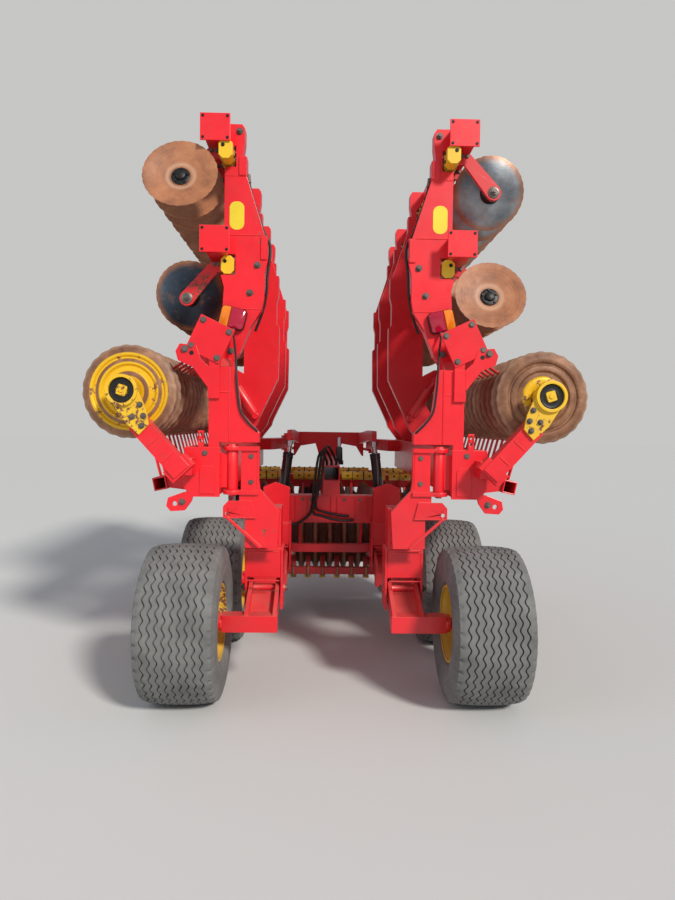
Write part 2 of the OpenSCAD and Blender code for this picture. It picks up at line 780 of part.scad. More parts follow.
// Cylinder across the inner rib's rear face, on pins in the rib
module depth_cylinder(side) {
    y = inner_ribs[0] - rib_t / 2 - 45;
    low = [607, y, 1715];
    high = [comb_x - 66, y, comb_z - 50];
    d = (high - low) / norm(high - low);
    color(dark_red) on(side) {
        rod(low + d * 20, low + d * 260, 36);
        rod(low + d * 250, high - d * 20, 20);
        for (p = [low, high]) translate([p[0], y + 45 - seat, p[2]]) rotate([90, 0, 0])
            cylinder(h = 75, r = 26);
    }
}

// Rear lamp: a round-cornered box on the rib
module tail_lamp(side) {
    w = 160;
    h = 132;
    r = 25;
    y = rear_rib_y - rib_t / 2;
    color("orange") on(side) translate([645, 0, 2300]) along_y(y - 48 - seat, 48) rotate(13) {
        square([w, h - 2 * r], center = true);
        square([w - 2 * r, h], center = true);
        for (x = [-1, 1], z = [-1, 1]) translate([x * (w / 2 - r), z * (h / 2 - r)]) circle(r);
    }
}

spine_w = 140;
spine_h = 130;
spine_z = centre_beam_z + beam_w / 2 + 45;
near_beam = [centre_leg_y + leg_d, centre_leg_y + leg_d + 160];
near_beam_z = [840, 1065];
head_y = [king_y + 240, king_y + 360];
tower_y = [centre_rows[0][0] + beam_w / 2 + clear, king_y + 595];

// Main frame of the centre: rear cross beam between the legs, spine over the
// disc beams and the tower plates that hold the drawbar
module centre_frame() {
    half = spine_w / 2;
    color(red) {
        difference() {
            block([-leg_x2 + 10, leg_x2 - 10], near_beam, near_beam_z);
            block([-leg_x2, leg_x2], near_beam + [10, -10], near_beam_z + [10, -10]);
        }
        block([-half, half], near_beam + [15, -15], [near_beam_z[1] - 5, spine_z + 5]);
        for (row = centre_rows) block(
            [-half, half], [row[0] - beam_w / 2, row[0] + beam_w / 2],
            [centre_beam_z + beam_w / 2 + seat, spine_z + 1]
        );
        for (x = [-5, 45]) block([x, x + 10], [near_beam[0] - 12, near_beam[0] + 1], near_beam_z + [4, -4]);
        difference() {
            block([-half, half], [near_beam[0] + 20, tower_y[1] - 60], [spine_z, spine_z + spine_h]);
            block(
                [-half + 10, half - 10], [near_beam[0] + 10, tower_y[1] - 50],
                [spine_z + 10, spine_z + spine_h - 10]
            );
        }
        for (x = [-half - 20, half]) along_x(x, 20) polygon([
            [tower_y[0], pole_z - pole_h / 2 - 20], [tower_y[1] + 90, pole_z - pole_h / 2 - 20],
            [tower_y[1] + 90, pole_z + pole_h / 2 + 10], [tower_y[1], spine_z + spine_h],
            [tower_y[0], spine_z + spine_h]
        ]);
    }
}

// Cross beam over the front disc row with its trapezoid webs, the ears of the
// king pins and the levers of the lift cylinders
module headstock() {
    ear_t = 25;
    ear_z = [king_z - 55 - seat - ear_t, king_z + 55 + seat];
    color(red) {
        difference() {
            block([-head_half, head_half], head_y, [head_top - 130, head_top]);
            block([-head_half - 1, head_half + 1], head_y + [10, -10], [head_top - 120, head_top - 10]);
        }
        for (y = [head_y[0], head_y[1] - 15]) along_y(y, 15) polygon([
            [-head_half, head_top - 5], [head_half, head_top - 5], [head_half, 1300], [head_half - 15, 1300],
            [head_half - 80, 1410], [150, 1440], [spine_w / 2 + 40, spine_z + spine_h + seat],
            [-spine_w / 2 - 40, spine_z + spine_h + seat], [-150, 1440], [-head_half + 80, 1410],
            [-head_half + 15, 1300], [-head_half, 1300]
        ]);
        for (side = [LEFT, RIGHT]) on(side) {
            block([head_half - 15, head_half], head_y, [1300, head_top]);
            for (z = ear_z) {
                translate([0, 0, z]) linear_extrude(ear_t) polygon([
                    [head_half - 2, head_y[1]], [head_half - 2, head_y[0]], [king_x - 56, king_y],
                    [king_x + 50, king_y + 20], [head_half + 40, head_y[1]]
                ]);
                translate([king_x, king_y, z]) cylinder(h = ear_t, r = 58);
            }
            translate([king_x, king_y, ear_z[0] - 25]) cylinder(h = ear_z[1] - ear_z[0] + ear_t + 50, r = king_r);
            along_x(lever_x, 40) polygon([
                [head_y[0] + 5, 1440], [head_y[0] + 5, 1560], [lift_y + 600, lever_z + 85], [lift_y - 20, lever_z + 85],
                [lift_y - 45, lever_z + 60], [lift_y - 45, lever_z], [lift_y + 60, lever_z], [lift_y + 600, lever_z - 10]
            ]);
        }
    }
}

module drawbar() {
    half = pole_w / 2;
    low = pole_z - pole_h / 2;
    nose_y = total_l / 2 - 2 * eye_r - 90;
    color(red) {
        along_x(-half + 20, pole_w - 40) polygon([
            [tower_y[0] + 10, low], [nose_y - 420, low], [nose_y, pole_z - 55], [nose_y, pole_z + 55],
            [nose_y - 420, low + pole_h], [tower_y[1] + 500, low + pole_h], [tower_y[1] + 60, low + pole_h + 90],
            [tower_y[1] - 20, low + pole_h + 90], [tower_y[1] - 20, low + pole_h - 10],
            [tower_y[0] + 10, low + pole_h - 10]
        ]);
        for (x = [-half, half - 20]) along_x(x, 20) polygon([
            [tower_y[1] + 90 + seat, low], [nose_y - 420, low], [nose_y - 30, pole_z - 45],
            [nose_y - 30, pole_z + 45], [nose_y - 420, low + pole_h], [tower_y[1] + 90 + seat, low + pole_h]
        ]);
        block([-half - 50, -half + 1], [stand_y - 70, stand_y + 70], [pole_z - 60, pole_z + 50]);
        translate([-half - 150, stand_y, stand_z]) rotate([0, 90, 0]) cylinder(h = 110, r = stand_pin_r);
        for (d = [260, 1060, 1860]) let (y = tower_y[1] + d)
            block([-30, 30], [y, y + 40], [low + pole_h - 1, low + pole_h + 60]);
    }
}
stand_z = 790;
stand_pin_r = 18;

module tow_eye() {
    y = total_l / 2 - eye_r;
    nose_y = total_l / 2 - 2 * eye_r - 90;
    color(grey) difference() {
        union() {
            translate([0, y, pole_z - 22]) cylinder(h = 44, r = eye_r, $fn = 64);
            block([-38, 38], [nose_y + 30, y - 20], [pole_z - 22, pole_z + 22]);
            block([-75, 75], [nose_y + seat, nose_y + 30], [pole_z - 70, pole_z + 70]);
        }
        translate([0, y, pole_z - 30]) cylinder(h = 60, r = eye_hole_r, $fn = 64);
    }
}

// Parking stand: a square leg on a pin beside the drawbar, its foot a little
// ahead of the pin so that the load holds it against its stop
module parking_stand() {
    x = -pole_w / 2 - 50 - 55;
    w = 70;
    foot_y = stand_y + 45;
    color(dark_red) difference() {
        union() {
            along_x(x - w / 2, w) polygon([
                [stand_y - 48, stand_z + 30], [stand_y - 20, stand_z + 48], [stand_y + 48, stand_z + 48],
                [stand_y + 48, stand_z - 60], [foot_y + w / 2, 20], [foot_y - w / 2, 20], [stand_y - 48, stand_z - 60]
            ]);
            block([x - 85, x + 85], [foot_y - 100, foot_y + 100], [0, 20]);
        }
        translate([x - w, stand_y, stand_z]) rotate([0, 90, 0]) cylinder(h = 2 * w, r = stand_pin_r + running);
    }
}

module centre_beams() {
    color(red) for (row = centre_rows) {
        tube_x(row[0], centre_beam_z, beam_w, [-centre_half, centre_half], beam_wall);
        for (x = [-centre_half - cap_t, centre_half + seat]) block(
            [x, x + cap_t], [row[0] - cap_h / 2, row[0] + cap_h / 2],
            [centre_beam_z - cap_w / 2, centre_beam_z + cap_w / 2]
        );
    }
}

function centre_places(row) = [for (i = [0:row[2] < 0 ? 7 : 6]) -centre_half + row[1] + i * disc_gap];

module centre_clamps() {
    color(yellow) for (row = centre_rows) let (places = centre_places(row))
        for (i = [0:2:len(places) - 1]) let (pair = i + 1 < len(places), l = pair ? clamp_l : clamp_l / 2)
            translate([0, row[0] - beam_w / 2 - clamp_h / 2, centre_beam_z + clamp_off])
                along_x(places[i] + (pair ? disc_gap / 2 : 0) - l / 2, l) rotate(90) clamp_outline();
}

// A wing's end view turned for the centre section: out becomes down and up
// becomes ahead
module turned() {
    rotate(-90) children();
}

module centre_arms() {
    color(red) for (row = centre_rows, x = centre_places(row))
        translate([0, row[0], centre_beam_z]) along_x(x - arm_t / 2, arm_t) turned() arm_outline();
}

module at_centre_disc(row, x) {
    translate([x, row[0] - disc_drop, centre_beam_z - disc_out])
        rotate([0, 0, row[2] < 0 ? 90 - disc_toe : -90 + disc_toe]) rotate([-90, 0, 0])
            translate([0, 0, hub_l]) children();
}

module centre_hubs() {
    color(black) for (row = centre_rows, x = centre_places(row)) {
        difference() {
            at_centre_disc(row, x) translate([0, 0, -hub_l - 10]) cylinder(h = hub_l + 10, r = hub_r);
            translate([
                row[2] < 0 ? x - arm_t / 2 : x + arm_t / 2 - 200,
                row[0] - disc_drop - 100, centre_beam_z - disc_out - 100
            ]) cube([200, 200, 200]);
        }
        at_centre_disc(row, x) translate([0, 0, disc_t]) cylinder(h = 26, r1 = hub_r - 4, r2 = hub_r - 12);
    }
}

module centre_discs() {
    color(rust) for (row = centre_rows, x = centre_places(row)) at_centre_disc(row, x) disc_shape();
}

centre_roller_l = (centre_ring_count - 1) * ring_gap + 60;
roller_tube_y = -centre_roller_y - 350;

// Side arms of the centre roller, their bearings and the tube behind it
module centre_roller_frame() {
    x0 = centre_roller_l / 2 + 15;
    arm_l = 30;
    color(red) {
        for (side = [LEFT, RIGHT]) on(side) {
            along_x(x0 + 12, arm_l) difference() {
                union() {
                    polygon([
                        [roller_tube_y - 40, 545], [roller_tube_y - 40, 630], [-centre_roller_y - 80, 690],
                        [centre_rows[1][0] - beam_w / 2 - 40, centre_beam_z + 60],
                        [centre_rows[1][0] - beam_w / 2 - seat, centre_beam_z + 60],
                        [centre_rows[1][0] - beam_w / 2 - seat, centre_beam_z - 60],
                        [-centre_roller_y + 90, 560]
                    ]);
                    translate([-centre_roller_y, centre_roller_z]) circle(bearing_r + 10);
                }
                translate([-centre_roller_y, centre_roller_z]) circle(shaft_r + running);
            }
        }
        tube_x(roller_tube_y, 586, 70, [-x0 - 12, x0 + 12], 8);
        for (side = [LEFT, RIGHT]) on(side) along_x(250, 20) polygon([
            [roller_tube_y - 30, 586 + 30], [roller_tube_y + 30, 586 + 30],
            [near_beam[1] + seat, near_beam_z[0] + 90], [near_beam[1] + seat, near_beam_z[0] - seat],
            [near_beam[1] - 60, near_beam_z[0] - seat]
        ]);
    }
}

// Bar with a hoop for each gap between two rings, a blade to the drum and a
// yellow-tipped tine below
module centre_scrapers() {
    bar_y = -centre_roller_y - 300;
    bar_z = 376;
    w = 60;
    d = [-centre_roller_y - bar_y - w / 2, centre_roller_z - bar_z - w / 2];
    k = 1 - (drum_r + clear) / norm(d);
    x0 = centre_roller_l / 2 - 60;
    color(red) {
        tube_x(bar_y, bar_z, w, [-x0, x0], 8);
        for (side = [LEFT, RIGHT]) on(side) along_x(x0 + seat - 30, 20) polygon([
            [roller_tube_y - 30, 586 - 35 - seat], [roller_tube_y + 30, 586 - 35 - seat],
            [bar_y + 25, bar_z + w / 2 - 1], [bar_y - 25, bar_z + w / 2 - 1]
        ]);
        for (i = [0:centre_ring_count - 2]) let (x = -centre_roller_l / 2 + 30 + (i + 0.5) * ring_gap) {
            aim_yz(x, [bar_y + w / 2 - 4, bar_z + w / 2 - 4], [bar_y + w / 2 + d[0] * k, bar_z + w / 2 + d[1] * k], 8, 44);
            along_x(x - 5, 10) difference() {
                translate([bar_y, bar_z]) square([w + 24, w + 24], center = true);
                translate([bar_y, bar_z]) square([w - 2, w - 2], center = true);
            }
            block([x - 25, x + 25], [bar_y - 22, bar_y + 22], [bar_z - w / 2 - 30, bar_z - w / 2 - 10]);
        }
    }
}

// Flat blade in a plane across X, between two points in Y and Z
module aim_yz(x, p, q, t, w) {
    d = q - p;
    translate([x - w / 2, p[0], p[1]]) rotate([atan2(d[1], d[0]), 0, 0])
        translate([0, 0, -t / 2]) cube([w, norm(d), t]);
}

module centre_roller() {
    color(rust) translate([-centre_roller_l / 2, -centre_roller_y, centre_roller_z])
        rotate([0, 90, 0]) roller_shape(centre_ring_count, 62);
}

// Lift cylinders: the outer pair from the rear cross beam up to the headstock's
// levers, and the middle one beside the spine
lever_x = 333;
lever_z = 1520;
lift_y = near_beam[0] + 80;
lift_low = [400, lift_y, near_beam_z[1] + 50];
lift_high = [lever_x + 20, lift_y, lever_z - 30];
lift_barrel = 305;
middle_low = [118, head_y[0] - 305, spine_z + 60];
middle_high = [118, head_y[0] - 45, 1490];
middle_barrel = 215;

module lift_cylinders() {
    d = (lift_high - lift_low) / norm(lift_high - lift_low);
    m = (middle_high - middle_low) / norm(middle_high - middle_low);
    top = near_beam_z[1] + seat;
    color(black) {
        for (side = [LEFT, RIGHT]) on(side) {
            rod(lift_low, lift_low + d * lift_barrel, 41);
            along_x(lift_low[0] - 14, 28) polygon([
                [lift_y - 62, top], [lift_y + 62, top], [lift_y + 62, top + 14], [lift_y + 50, top + 60],
                [lift_y - 50, top + 60], [lift_y - 62, top + 14]
            ]);
        }
        rod(middle_low, middle_low + m * middle_barrel, 36);
        translate([spine_w / 2 + seat, middle_low[1], middle_low[2]]) rotate([0, 90, 0])
            cylinder(h = 90, r = 24);
    }
}

module lift_rods() {
    d = (lift_high - lift_low) / norm(lift_high - lift_low);
    m = (middle_high - middle_low) / norm(middle_high - middle_low);
    color(silver) {
        for (side = [LEFT, RIGHT]) on(side) {
            rod(lift_low + d * (lift_barrel + seat), lift_high, 24);
            block([lever_x + 4, lever_x + 36], [lift_y - 24, lift_y + 24], [lever_z - 50, lever_z - seat]);
        }
        rod(middle_low + m * (middle_barrel + seat), middle_high, 18);
        block(
            [middle_high[0] - 16, middle_high[0] + 16], [middle_high[1] - 15, head_y[0] - seat],
            [middle_high[2] - 22, middle_high[2] + 22]
        );
    }
}

// Hoses over the rear beam: bundle from the spine down to its two branches
hose_r = 11;
hose_top = spine_z + spine_h + seat;
hose_y = near_beam[0];
// Stations of each hose: across, ahead of the rear beam's rear face, height
hose_stations = [
    [[-40, 165, hose_top], [-40, 165, hose_top + 30], [-75, 65, 1420], [-110, -20, 1390], [-140, -40, 1180],
        [-160, -35, 960], [-200, -30, 890], [-285, -27, 832], [seat - leg_x, -27, 832]],
    [[0, 185, hose_top], [0, 185, hose_top + 35], [-50, 75, 1445], [-85, -40, 1410], [-112, -65, 1180],
        [-130, -61, 980], [-60, -40, 935], [60, -35, 910], [135, -27, 900], [135, -seat, 900]],
    [[40, 205, hose_top], [40, 205, hose_top + 35], [-25, 85, 1470], [-60, -65, 1430], [-88, -90, 1180],
        [-150, -85, 950], [-80, -65, 905], [60, -63, 870], [172, -30, 868], [172, -seat, 868]]
];
hose_routes = [for (r = hose_stations) [for (q = r) [q[0], hose_y + q[1], q[2]]]];

function unit(v) = v / norm(v);
function spline_point(a, b, c, d, t) = 0.5 * (
    2 * b + (c - a) * t + (2 * a - 5 * b + 4 * c - d) * t * t + (3 * b - a - 3 * c + d) * t * t * t
);
function curve(pts, steps) = let (n = len(pts) - 1) concat(
    [for (i = [0:n - 1], k = [0:steps - 1])
        spline_point(pts[max(i - 1, 0)], pts[i], pts[i + 1], pts[min(i + 2, n)], k / steps)],
    [pts[n]]
);

// Round tube along a route of points
module hose(route, r) {
    sides = 8;
    pts = curve(route, 3);
    n = len(pts);
    rings = [for (i = [0:n - 1])
        let (
            m = len(route) - 1,
            t = unit(i == 0 ? route[1] - route[0]
                : i == n - 1 ? route[m] - route[m - 1] : pts[i + 1] - pts[i - 1]),
            u = unit(cross(t, abs(t[1]) > 0.9 ? [1, 0, 0.2] : [0.3, 1, 0.1])), v = cross(t, u)
        )
            each [for (a = [0:sides - 1]) pts[i] + r * (cos(360 * a / sides) * u + sin(360 * a / sides) * v)]];
    polyhedron(rings, concat(
        [[for (a = [0:sides - 1]) a]],
        [for (i = [0:n - 2], a = [0:sides - 1])
            [i * sides + a, (i + 1) * sides + a, (i + 1) * sides + (a + 1) % sides, i * sides + (a + 1) % sides]],
        [[for (a = [sides - 1:-1:0]) (n - 1) * sides + a]]
    ));
}

module hoses() {
    color(black) for (route = hose_routes) hose(route, hose_r);
}

centre_frame();
headstock();
drawbar();
tow_eye();
centre_legs();
centre_wheel_arms();
centre_beams();
centre_clamps();
centre_arms();
centre_hubs();
centre_discs();
centre_roller_frame();
centre_scrapers();
centre_roller();
lift_cylinders();
lift_rods();
hoses();
parking_stand();
tyre(LEFT, front_axle_y);  // front_tyre_left
tyre(RIGHT, front_axle_y);  // front_tyre_right
rim(LEFT, front_axle_y);  // front_rim_left
rim(RIGHT, front_axle_y);  // front_rim_right
tyre(LEFT, rear_axle_y);  // rear_tyre_left
tyre(RIGHT, rear_axle_y);  // rear_tyre_right
rim(LEFT, rear_axle_y);  // rear_rim_left
rim(RIGHT, rear_axle_y);  // rear_rim_right
tip_leg(LEFT);  // tip_leg_left
tip_leg(RIGHT);  // tip_leg_right
tip_wheel_arm(LEFT);  // tip_wheel_arm_left
tip_wheel_arm(RIGHT);  // tip_wheel_arm_right
wing_frame(LEFT);  // wing_frame_left
wing_frame(RIGHT);  // wing_frame_right
wing_ribs(LEFT);  // wing_ribs_left
wing_ribs(RIGHT);  // wing_ribs_right
wing_beams(LEFT);  // wing_beams_left
wing_beams(RIGHT);  // wing_beams_right
wing_clamps(LEFT);  // wing_clamps_left
wing_clamps(RIGHT);  // wing_clamps_right
wing_arms(LEFT);  // wing_arms_left
wing_arms(RIGHT);  // wing_arms_right
wing_hubs(LEFT);  // wing_hubs_left
wing_hubs(RIGHT);  // wing_hubs_right
wing_discs(LEFT);  // wing_discs_left
wing_discs(RIGHT);  // wing_discs_right
roller_frame(LEFT);  // roller_frame_left
roller_frame(RIGHT);  // roller_frame_right
roller_bearings(LEFT);  // roller_bearings_left
roller_bearings(RIGHT);  // roller_bearings_right
wing_roller(LEFT);  // wing_roller_left
wing_roller(RIGHT);  // wing_roller_right
lower_scrapers(LEFT);  // lower_scrapers_left
lower_scrapers(RIGHT);  // lower_scrapers_right
comb(LEFT);  // comb_left
comb(RIGHT);  // comb_right
depth_cylinder(LEFT);  // depth_cylinder_left
depth_cylinder(RIGHT);  // depth_cylinder_right
tail_lamp(LEFT);  // tail_lamp_left
tail_lamp(RIGHT);  // tail_lamp_right
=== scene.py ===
import bpy
import bmesh
import json
import math
import random
from mathutils import Matrix, Vector


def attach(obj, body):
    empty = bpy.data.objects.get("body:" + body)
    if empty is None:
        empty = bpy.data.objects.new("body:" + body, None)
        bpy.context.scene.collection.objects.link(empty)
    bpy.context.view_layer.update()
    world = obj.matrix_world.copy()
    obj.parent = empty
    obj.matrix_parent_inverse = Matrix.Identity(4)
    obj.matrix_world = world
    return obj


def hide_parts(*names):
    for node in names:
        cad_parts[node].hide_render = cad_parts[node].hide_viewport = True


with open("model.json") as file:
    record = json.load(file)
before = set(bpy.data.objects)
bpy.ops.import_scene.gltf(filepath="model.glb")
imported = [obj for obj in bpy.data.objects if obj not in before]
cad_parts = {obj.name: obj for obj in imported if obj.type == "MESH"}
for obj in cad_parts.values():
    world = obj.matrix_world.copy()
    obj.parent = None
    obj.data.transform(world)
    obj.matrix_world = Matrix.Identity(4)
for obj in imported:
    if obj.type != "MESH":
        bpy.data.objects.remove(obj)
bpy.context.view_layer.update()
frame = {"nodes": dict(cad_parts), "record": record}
nodes = frame["nodes"]
record = frame["record"]
slot_of = {s["node"]: s["material_slot"] for s in record["subparts"]}
# where each joint turns, by the joint's name
PIVOT = {j["name"]: j["pos_m"] for j in record["behaviour"]["joints"]}
SIDES = (("left", -1), ("right", 1))

# ---------------- camera
# fitted to the photo
EYE = Vector((-0.10, -7.455, 1.65))
PITCH = math.radians(-2.1)
YAW = math.radians(1.5)
ROLL = math.radians(0.8)
cam_data = bpy.data.cameras.new("camera")
cam_data.sensor_fit = "VERTICAL"
cam_data.sensor_height = 36.0
cam_data.lens = 27.04
cam_data.clip_start = 0.05
camera = bpy.data.objects.new("camera", cam_data)
camera.location = EYE
camera.rotation_euler = (
    Matrix.Rotation(-YAW, 3, "Z") @ Matrix.Rotation(math.pi / 2 + PITCH, 3, "X") @ Matrix.Rotation(ROLL, 3, "Z")
).to_euler()
bpy.context.scene.collection.objects.link(camera)
bpy.context.scene.camera = camera


# ---------------- light
def light(name, kind, colour, energy, way, place=(0, 0, 0)):
    """A lamp that shines along way; the caller sets its size."""
    data = bpy.data.lights.new(name, kind)
    data.color = colour
    data.energy = energy
    lamp = bpy.data.objects.new(name, data)
    lamp.location = place
    lamp.rotation_euler = way.to_track_quat("-Z", "Y").to_euler()
    bpy.context.scene.collection.objects.link(lamp)
    return data


# the sun stands behind the camera on its right, as in the photo
light("key", "SUN", (1.0, 0.96, 0.90), 3.3, Vector((-0.46, 0.70, -0.55))).angle = math.radians(9)
FILL_PLACE = Vector((-8.0, -8.0, 4.5))
FILL_TARGET = Vector((0, -2.0, 1.5))
fill = light("fill", "AREA", (0.93, 0.96, 1.0), 150, FILL_TARGET - FILL_PLACE, FILL_PLACE)
fill.shape = "DISK"
fill.size = 6.0

SKY = (0.86, 0.91, 1.0)
SKY_STRENGTH = 0.42
FLOOR = (0.60, 0.60, 0.59)
# the floor's colour as it renders, so that no seam shows behind the machine
BACKDROP = (0.568, 0.568, 0.562)
world = bpy.data.worlds.new("world")
world.use_nodes = True
tree = world.node_tree
sky = tree.nodes["Background"]
sky.inputs[0].default_value = (*SKY, 1)
sky.inputs[1].default_value = SKY_STRENGTH
backdrop = tree.nodes.new("ShaderNodeBackground")
backdrop.inputs[0].default_value = (*BACKDROP, 1)
seen = tree.nodes.new("ShaderNodeLightPath")
either = tree.nodes.new("ShaderNodeMixShader")
tree.links.new(seen.outputs["Is Camera Ray"], either.inputs[0])
tree.links.new(sky.outputs[0], either.inputs[1])
tree.links.new(backdrop.outputs[0], either.inputs[2])
tree.links.new(either.outputs[0], tree.nodes["World Output"].inputs[0])
bpy.context.scene.world = world
bpy.context.scene.view_settings.view_transform = "Standard"


# ---------------- materials
class Shader:
    """One material's node tree, with short calls for the nodes it needs."""

    def __init__(self, name):
        self.material = bpy.data.materials.new(name)
        self.material.use_nodes = True
        self.tree = self.material.node_tree
        self.bsdf = self.tree.nodes["Principled BSDF"]
        self.coords = self.tree.nodes.new("ShaderNodeTexCoord").outputs["Object"]

    def link(self, a, b):
        self.tree.links.new(a, b)

    def put(self, socket, value):
        """Gives a socket a number, a colour or a link."""
        if isinstance(value, (int, float)):
            socket.default_value = value
        elif isinstance(value, tuple):
            socket.default_value = (*value, 1)
        else:
            self.link(value, socket)

    def node(self, kind, **values):
        n = self.tree.nodes.new(kind)
        for key, value in values.items():
            setattr(n, key, value)
        return n

    def noise(self, scale, detail=4.0, rough=0.55, source=None):
        n = self.node("ShaderNodeTexNoise")
        n.inputs["Scale"].default_value = scale
        n.inputs["Detail"].default_value = detail
        n.inputs["Roughness"].default_value = rough
        self.link(source or self.coords, n.inputs["Vector"])
        return n.outputs["Fac"]

    def grain(self, scale, detail, amount, base, clamp=False):
        """A base value with noise on it."""
        return self.math("ADD", self.times(self.noise(scale, detail), amount), base, clamp)

    def ramp(self, fac, *stops):
        n = self.node("ShaderNodeValToRGB")
        items = n.color_ramp.elements
        while len(items) < len(stops):
            items.new(0.5)
        for item, (place, value) in zip(items, stops):
            item.position = place
            item.color = (value, value, value, 1) if isinstance(value, (int, float)) else (*value, 1)
        self.link(fac, n.inputs["Fac"])
        return n.outputs["Color"]

    def math(self, kind, a, b=0.0, clamp=False):
        n = self.node("ShaderNodeMath", operation=kind, use_clamp=clamp)
        self.put(n.inputs[0], a)
        self.put(n.inputs[1], b)
        return n.outputs[0]

    def times(self, a, b):
        return self.math("MULTIPLY", a, b)

    def mix(self, fac, a, b):
        n = self.node("ShaderNodeMix", data_type="RGBA")
        self.put(n.inputs[0], fac)
        self.put(n.inputs[6], a)
        self.put(n.inputs[7], b)
        return n.outputs[2]

    def split(self, source=None):
        n = self.node("ShaderNodeSeparateXYZ")
        self.link(source or self.coords, n.inputs[0])
        return n.outputs

    def up(self):
        """1 where the face looks up, 0 where it is upright or looks down."""
        geo = self.node("ShaderNodeNewGeometry")
        z = self.split(geo.outputs["Normal"])[2]
        return self.math("MULTIPLY", z, 1.0, clamp=True)

    def bump(self, height, strength, distance):
        n = self.node("ShaderNodeBump")
        n.inputs["Strength"].default_value = strength
        n.inputs["Distance"].default_value = distance
        self.link(height, n.inputs["Height"])
        self.link(n.outputs["Normal"], self.bsdf.inputs["Normal"])

    def finish(self, colour, rough, metallic=0.0, **sockets):
        for key, value in {"Base Color": colour, "Roughness": rough, "Metallic": metallic, **sockets}.items():
            self.put(self.bsdf.inputs[key], value)
        return self.material


FRESH_RUST = (0.13, 0.035, 0.022)
OLD_RUST = (0.24, 0.085, 0.045)
SOIL = (0.20, 0.10, 0.06)
DUST = (0.42, 0.36, 0.29)


def paint(name, colour, shade, chips, dust=0.35, edges=1.0, gloss=0.28):
    """Sprayed paint: two close tones with dark and pale patches, chips down to
    rust where the noise is over chips and along worn edges, soil low down and
    dust on the faces that look up."""
    s = Shader(name)
    tone = s.ramp(s.noise(1.7, 3.0), (0.35, colour), (0.72, shade))
    blotch = s.ramp(s.noise(9.0, 6.0, 0.7), (0.50, 0.0), (0.8, 0.4))
    tone = s.mix(blotch, tone, tuple(0.66 * c for c in colour))
    pale = s.ramp(s.noise(1.1, 5.0, 0.6), (0.48, 0.0), (0.75, 0.16))
    tone = s.mix(pale, tone, tuple(0.55 * c + 0.10 for c in colour))
    chip_noise = s.times(s.noise(34.0, 8.0, 0.72), s.noise(2.6, 2.0))
    chip = s.ramp(chip_noise, (chips, 0.0), (chips + 0.02, 1.0))
    edge = s.ramp(s.node("ShaderNodeNewGeometry").outputs["Pointiness"], (0.515, 0.0), (0.56, 1.0))
    worn = s.ramp(s.noise(23.0, 6.0, 0.75), (0.64, 0.0), (0.70, 1.0))
    chip = s.math("ADD", chip, s.times(s.times(edge, worn), edges), clamp=True)
    body = s.mix(chip, tone, s.ramp(s.noise(60.0), (0.3, FRESH_RUST), (0.7, OLD_RUST)))
    film = s.times(s.times(s.up(), s.noise(5.0, 6.0, 0.65)), dust)
    height_above_ground = s.math("ADD", s.split()[2], s.times(s.noise(4.0, 6.0, 0.65), 0.9))
    body = s.mix(s.ramp(height_above_ground, (0.55, 0.30), (1.0, 0.0)), body, SOIL)
    body = s.mix(film, body, DUST)
    rough = s.grain(14.0, 5.0, 0.22, gloss)
    rough = s.math("ADD", rough, s.times(chip, 0.35), clamp=True)
    rough = s.math("ADD", rough, film, clamp=True)
    height = s.math("SUBTRACT", s.times(s.noise(120.0, 2.0), 0.15), chip)
    s.bump(height, 0.25, 0.002)
    return s.finish(body, rough, 0.0, **{"Coat Weight": 0.25, "Coat Roughness": 0.2})


def rusty(name, dark, mid, light, metal=0.25, shine=0.0):
    """Bare steel under a film of rust, brighter where soil has scoured it."""
    s = Shader(name)
    base = s.ramp(s.noise(7.0, 9.0, 0.68), (0.30, dark), (0.50, mid), (0.70, light))
    speck = s.ramp(s.noise(70.0, 5.0, 0.7), (0.52, 0.0), (0.66, 0.65))
    base = s.mix(speck, base, dark)
    scour = s.ramp(s.noise(2.2, 3.0), (0.45, 0.0), (0.75, shine))
    base = s.mix(scour, base, (0.40, 0.39, 0.40))
    rough = s.math("SUBTRACT", s.grain(22.0, 6.0, 0.3, 0.42), s.times(scour, 0.3))
    s.bump(s.noise(55.0, 8.0, 0.75), 0.35, 0.0025)
    return s.finish(base, rough, metal)


def plain(name, colour, rough, metallic=0.0, vary=0.25, grain=60.0, bump=0.15, **sockets):
    """One colour, up to vary darker in patches, with a fine grain."""
    s = Shader(name)
    patches = s.ramp(s.noise(6.0, 6.0, 0.6), (0.3, 0.0), (0.75, 1.0))
    tone = s.mix(patches, colour, tuple(c * (1 - vary) for c in colour))
    gloss = s.grain(grain * 0.4, 4.0, 0.2, rough - 0.1, clamp=True)
    s.bump(s.noise(grain, 4.0), bump, 0.002)
    return s.finish(tone, gloss, metallic, **sockets)


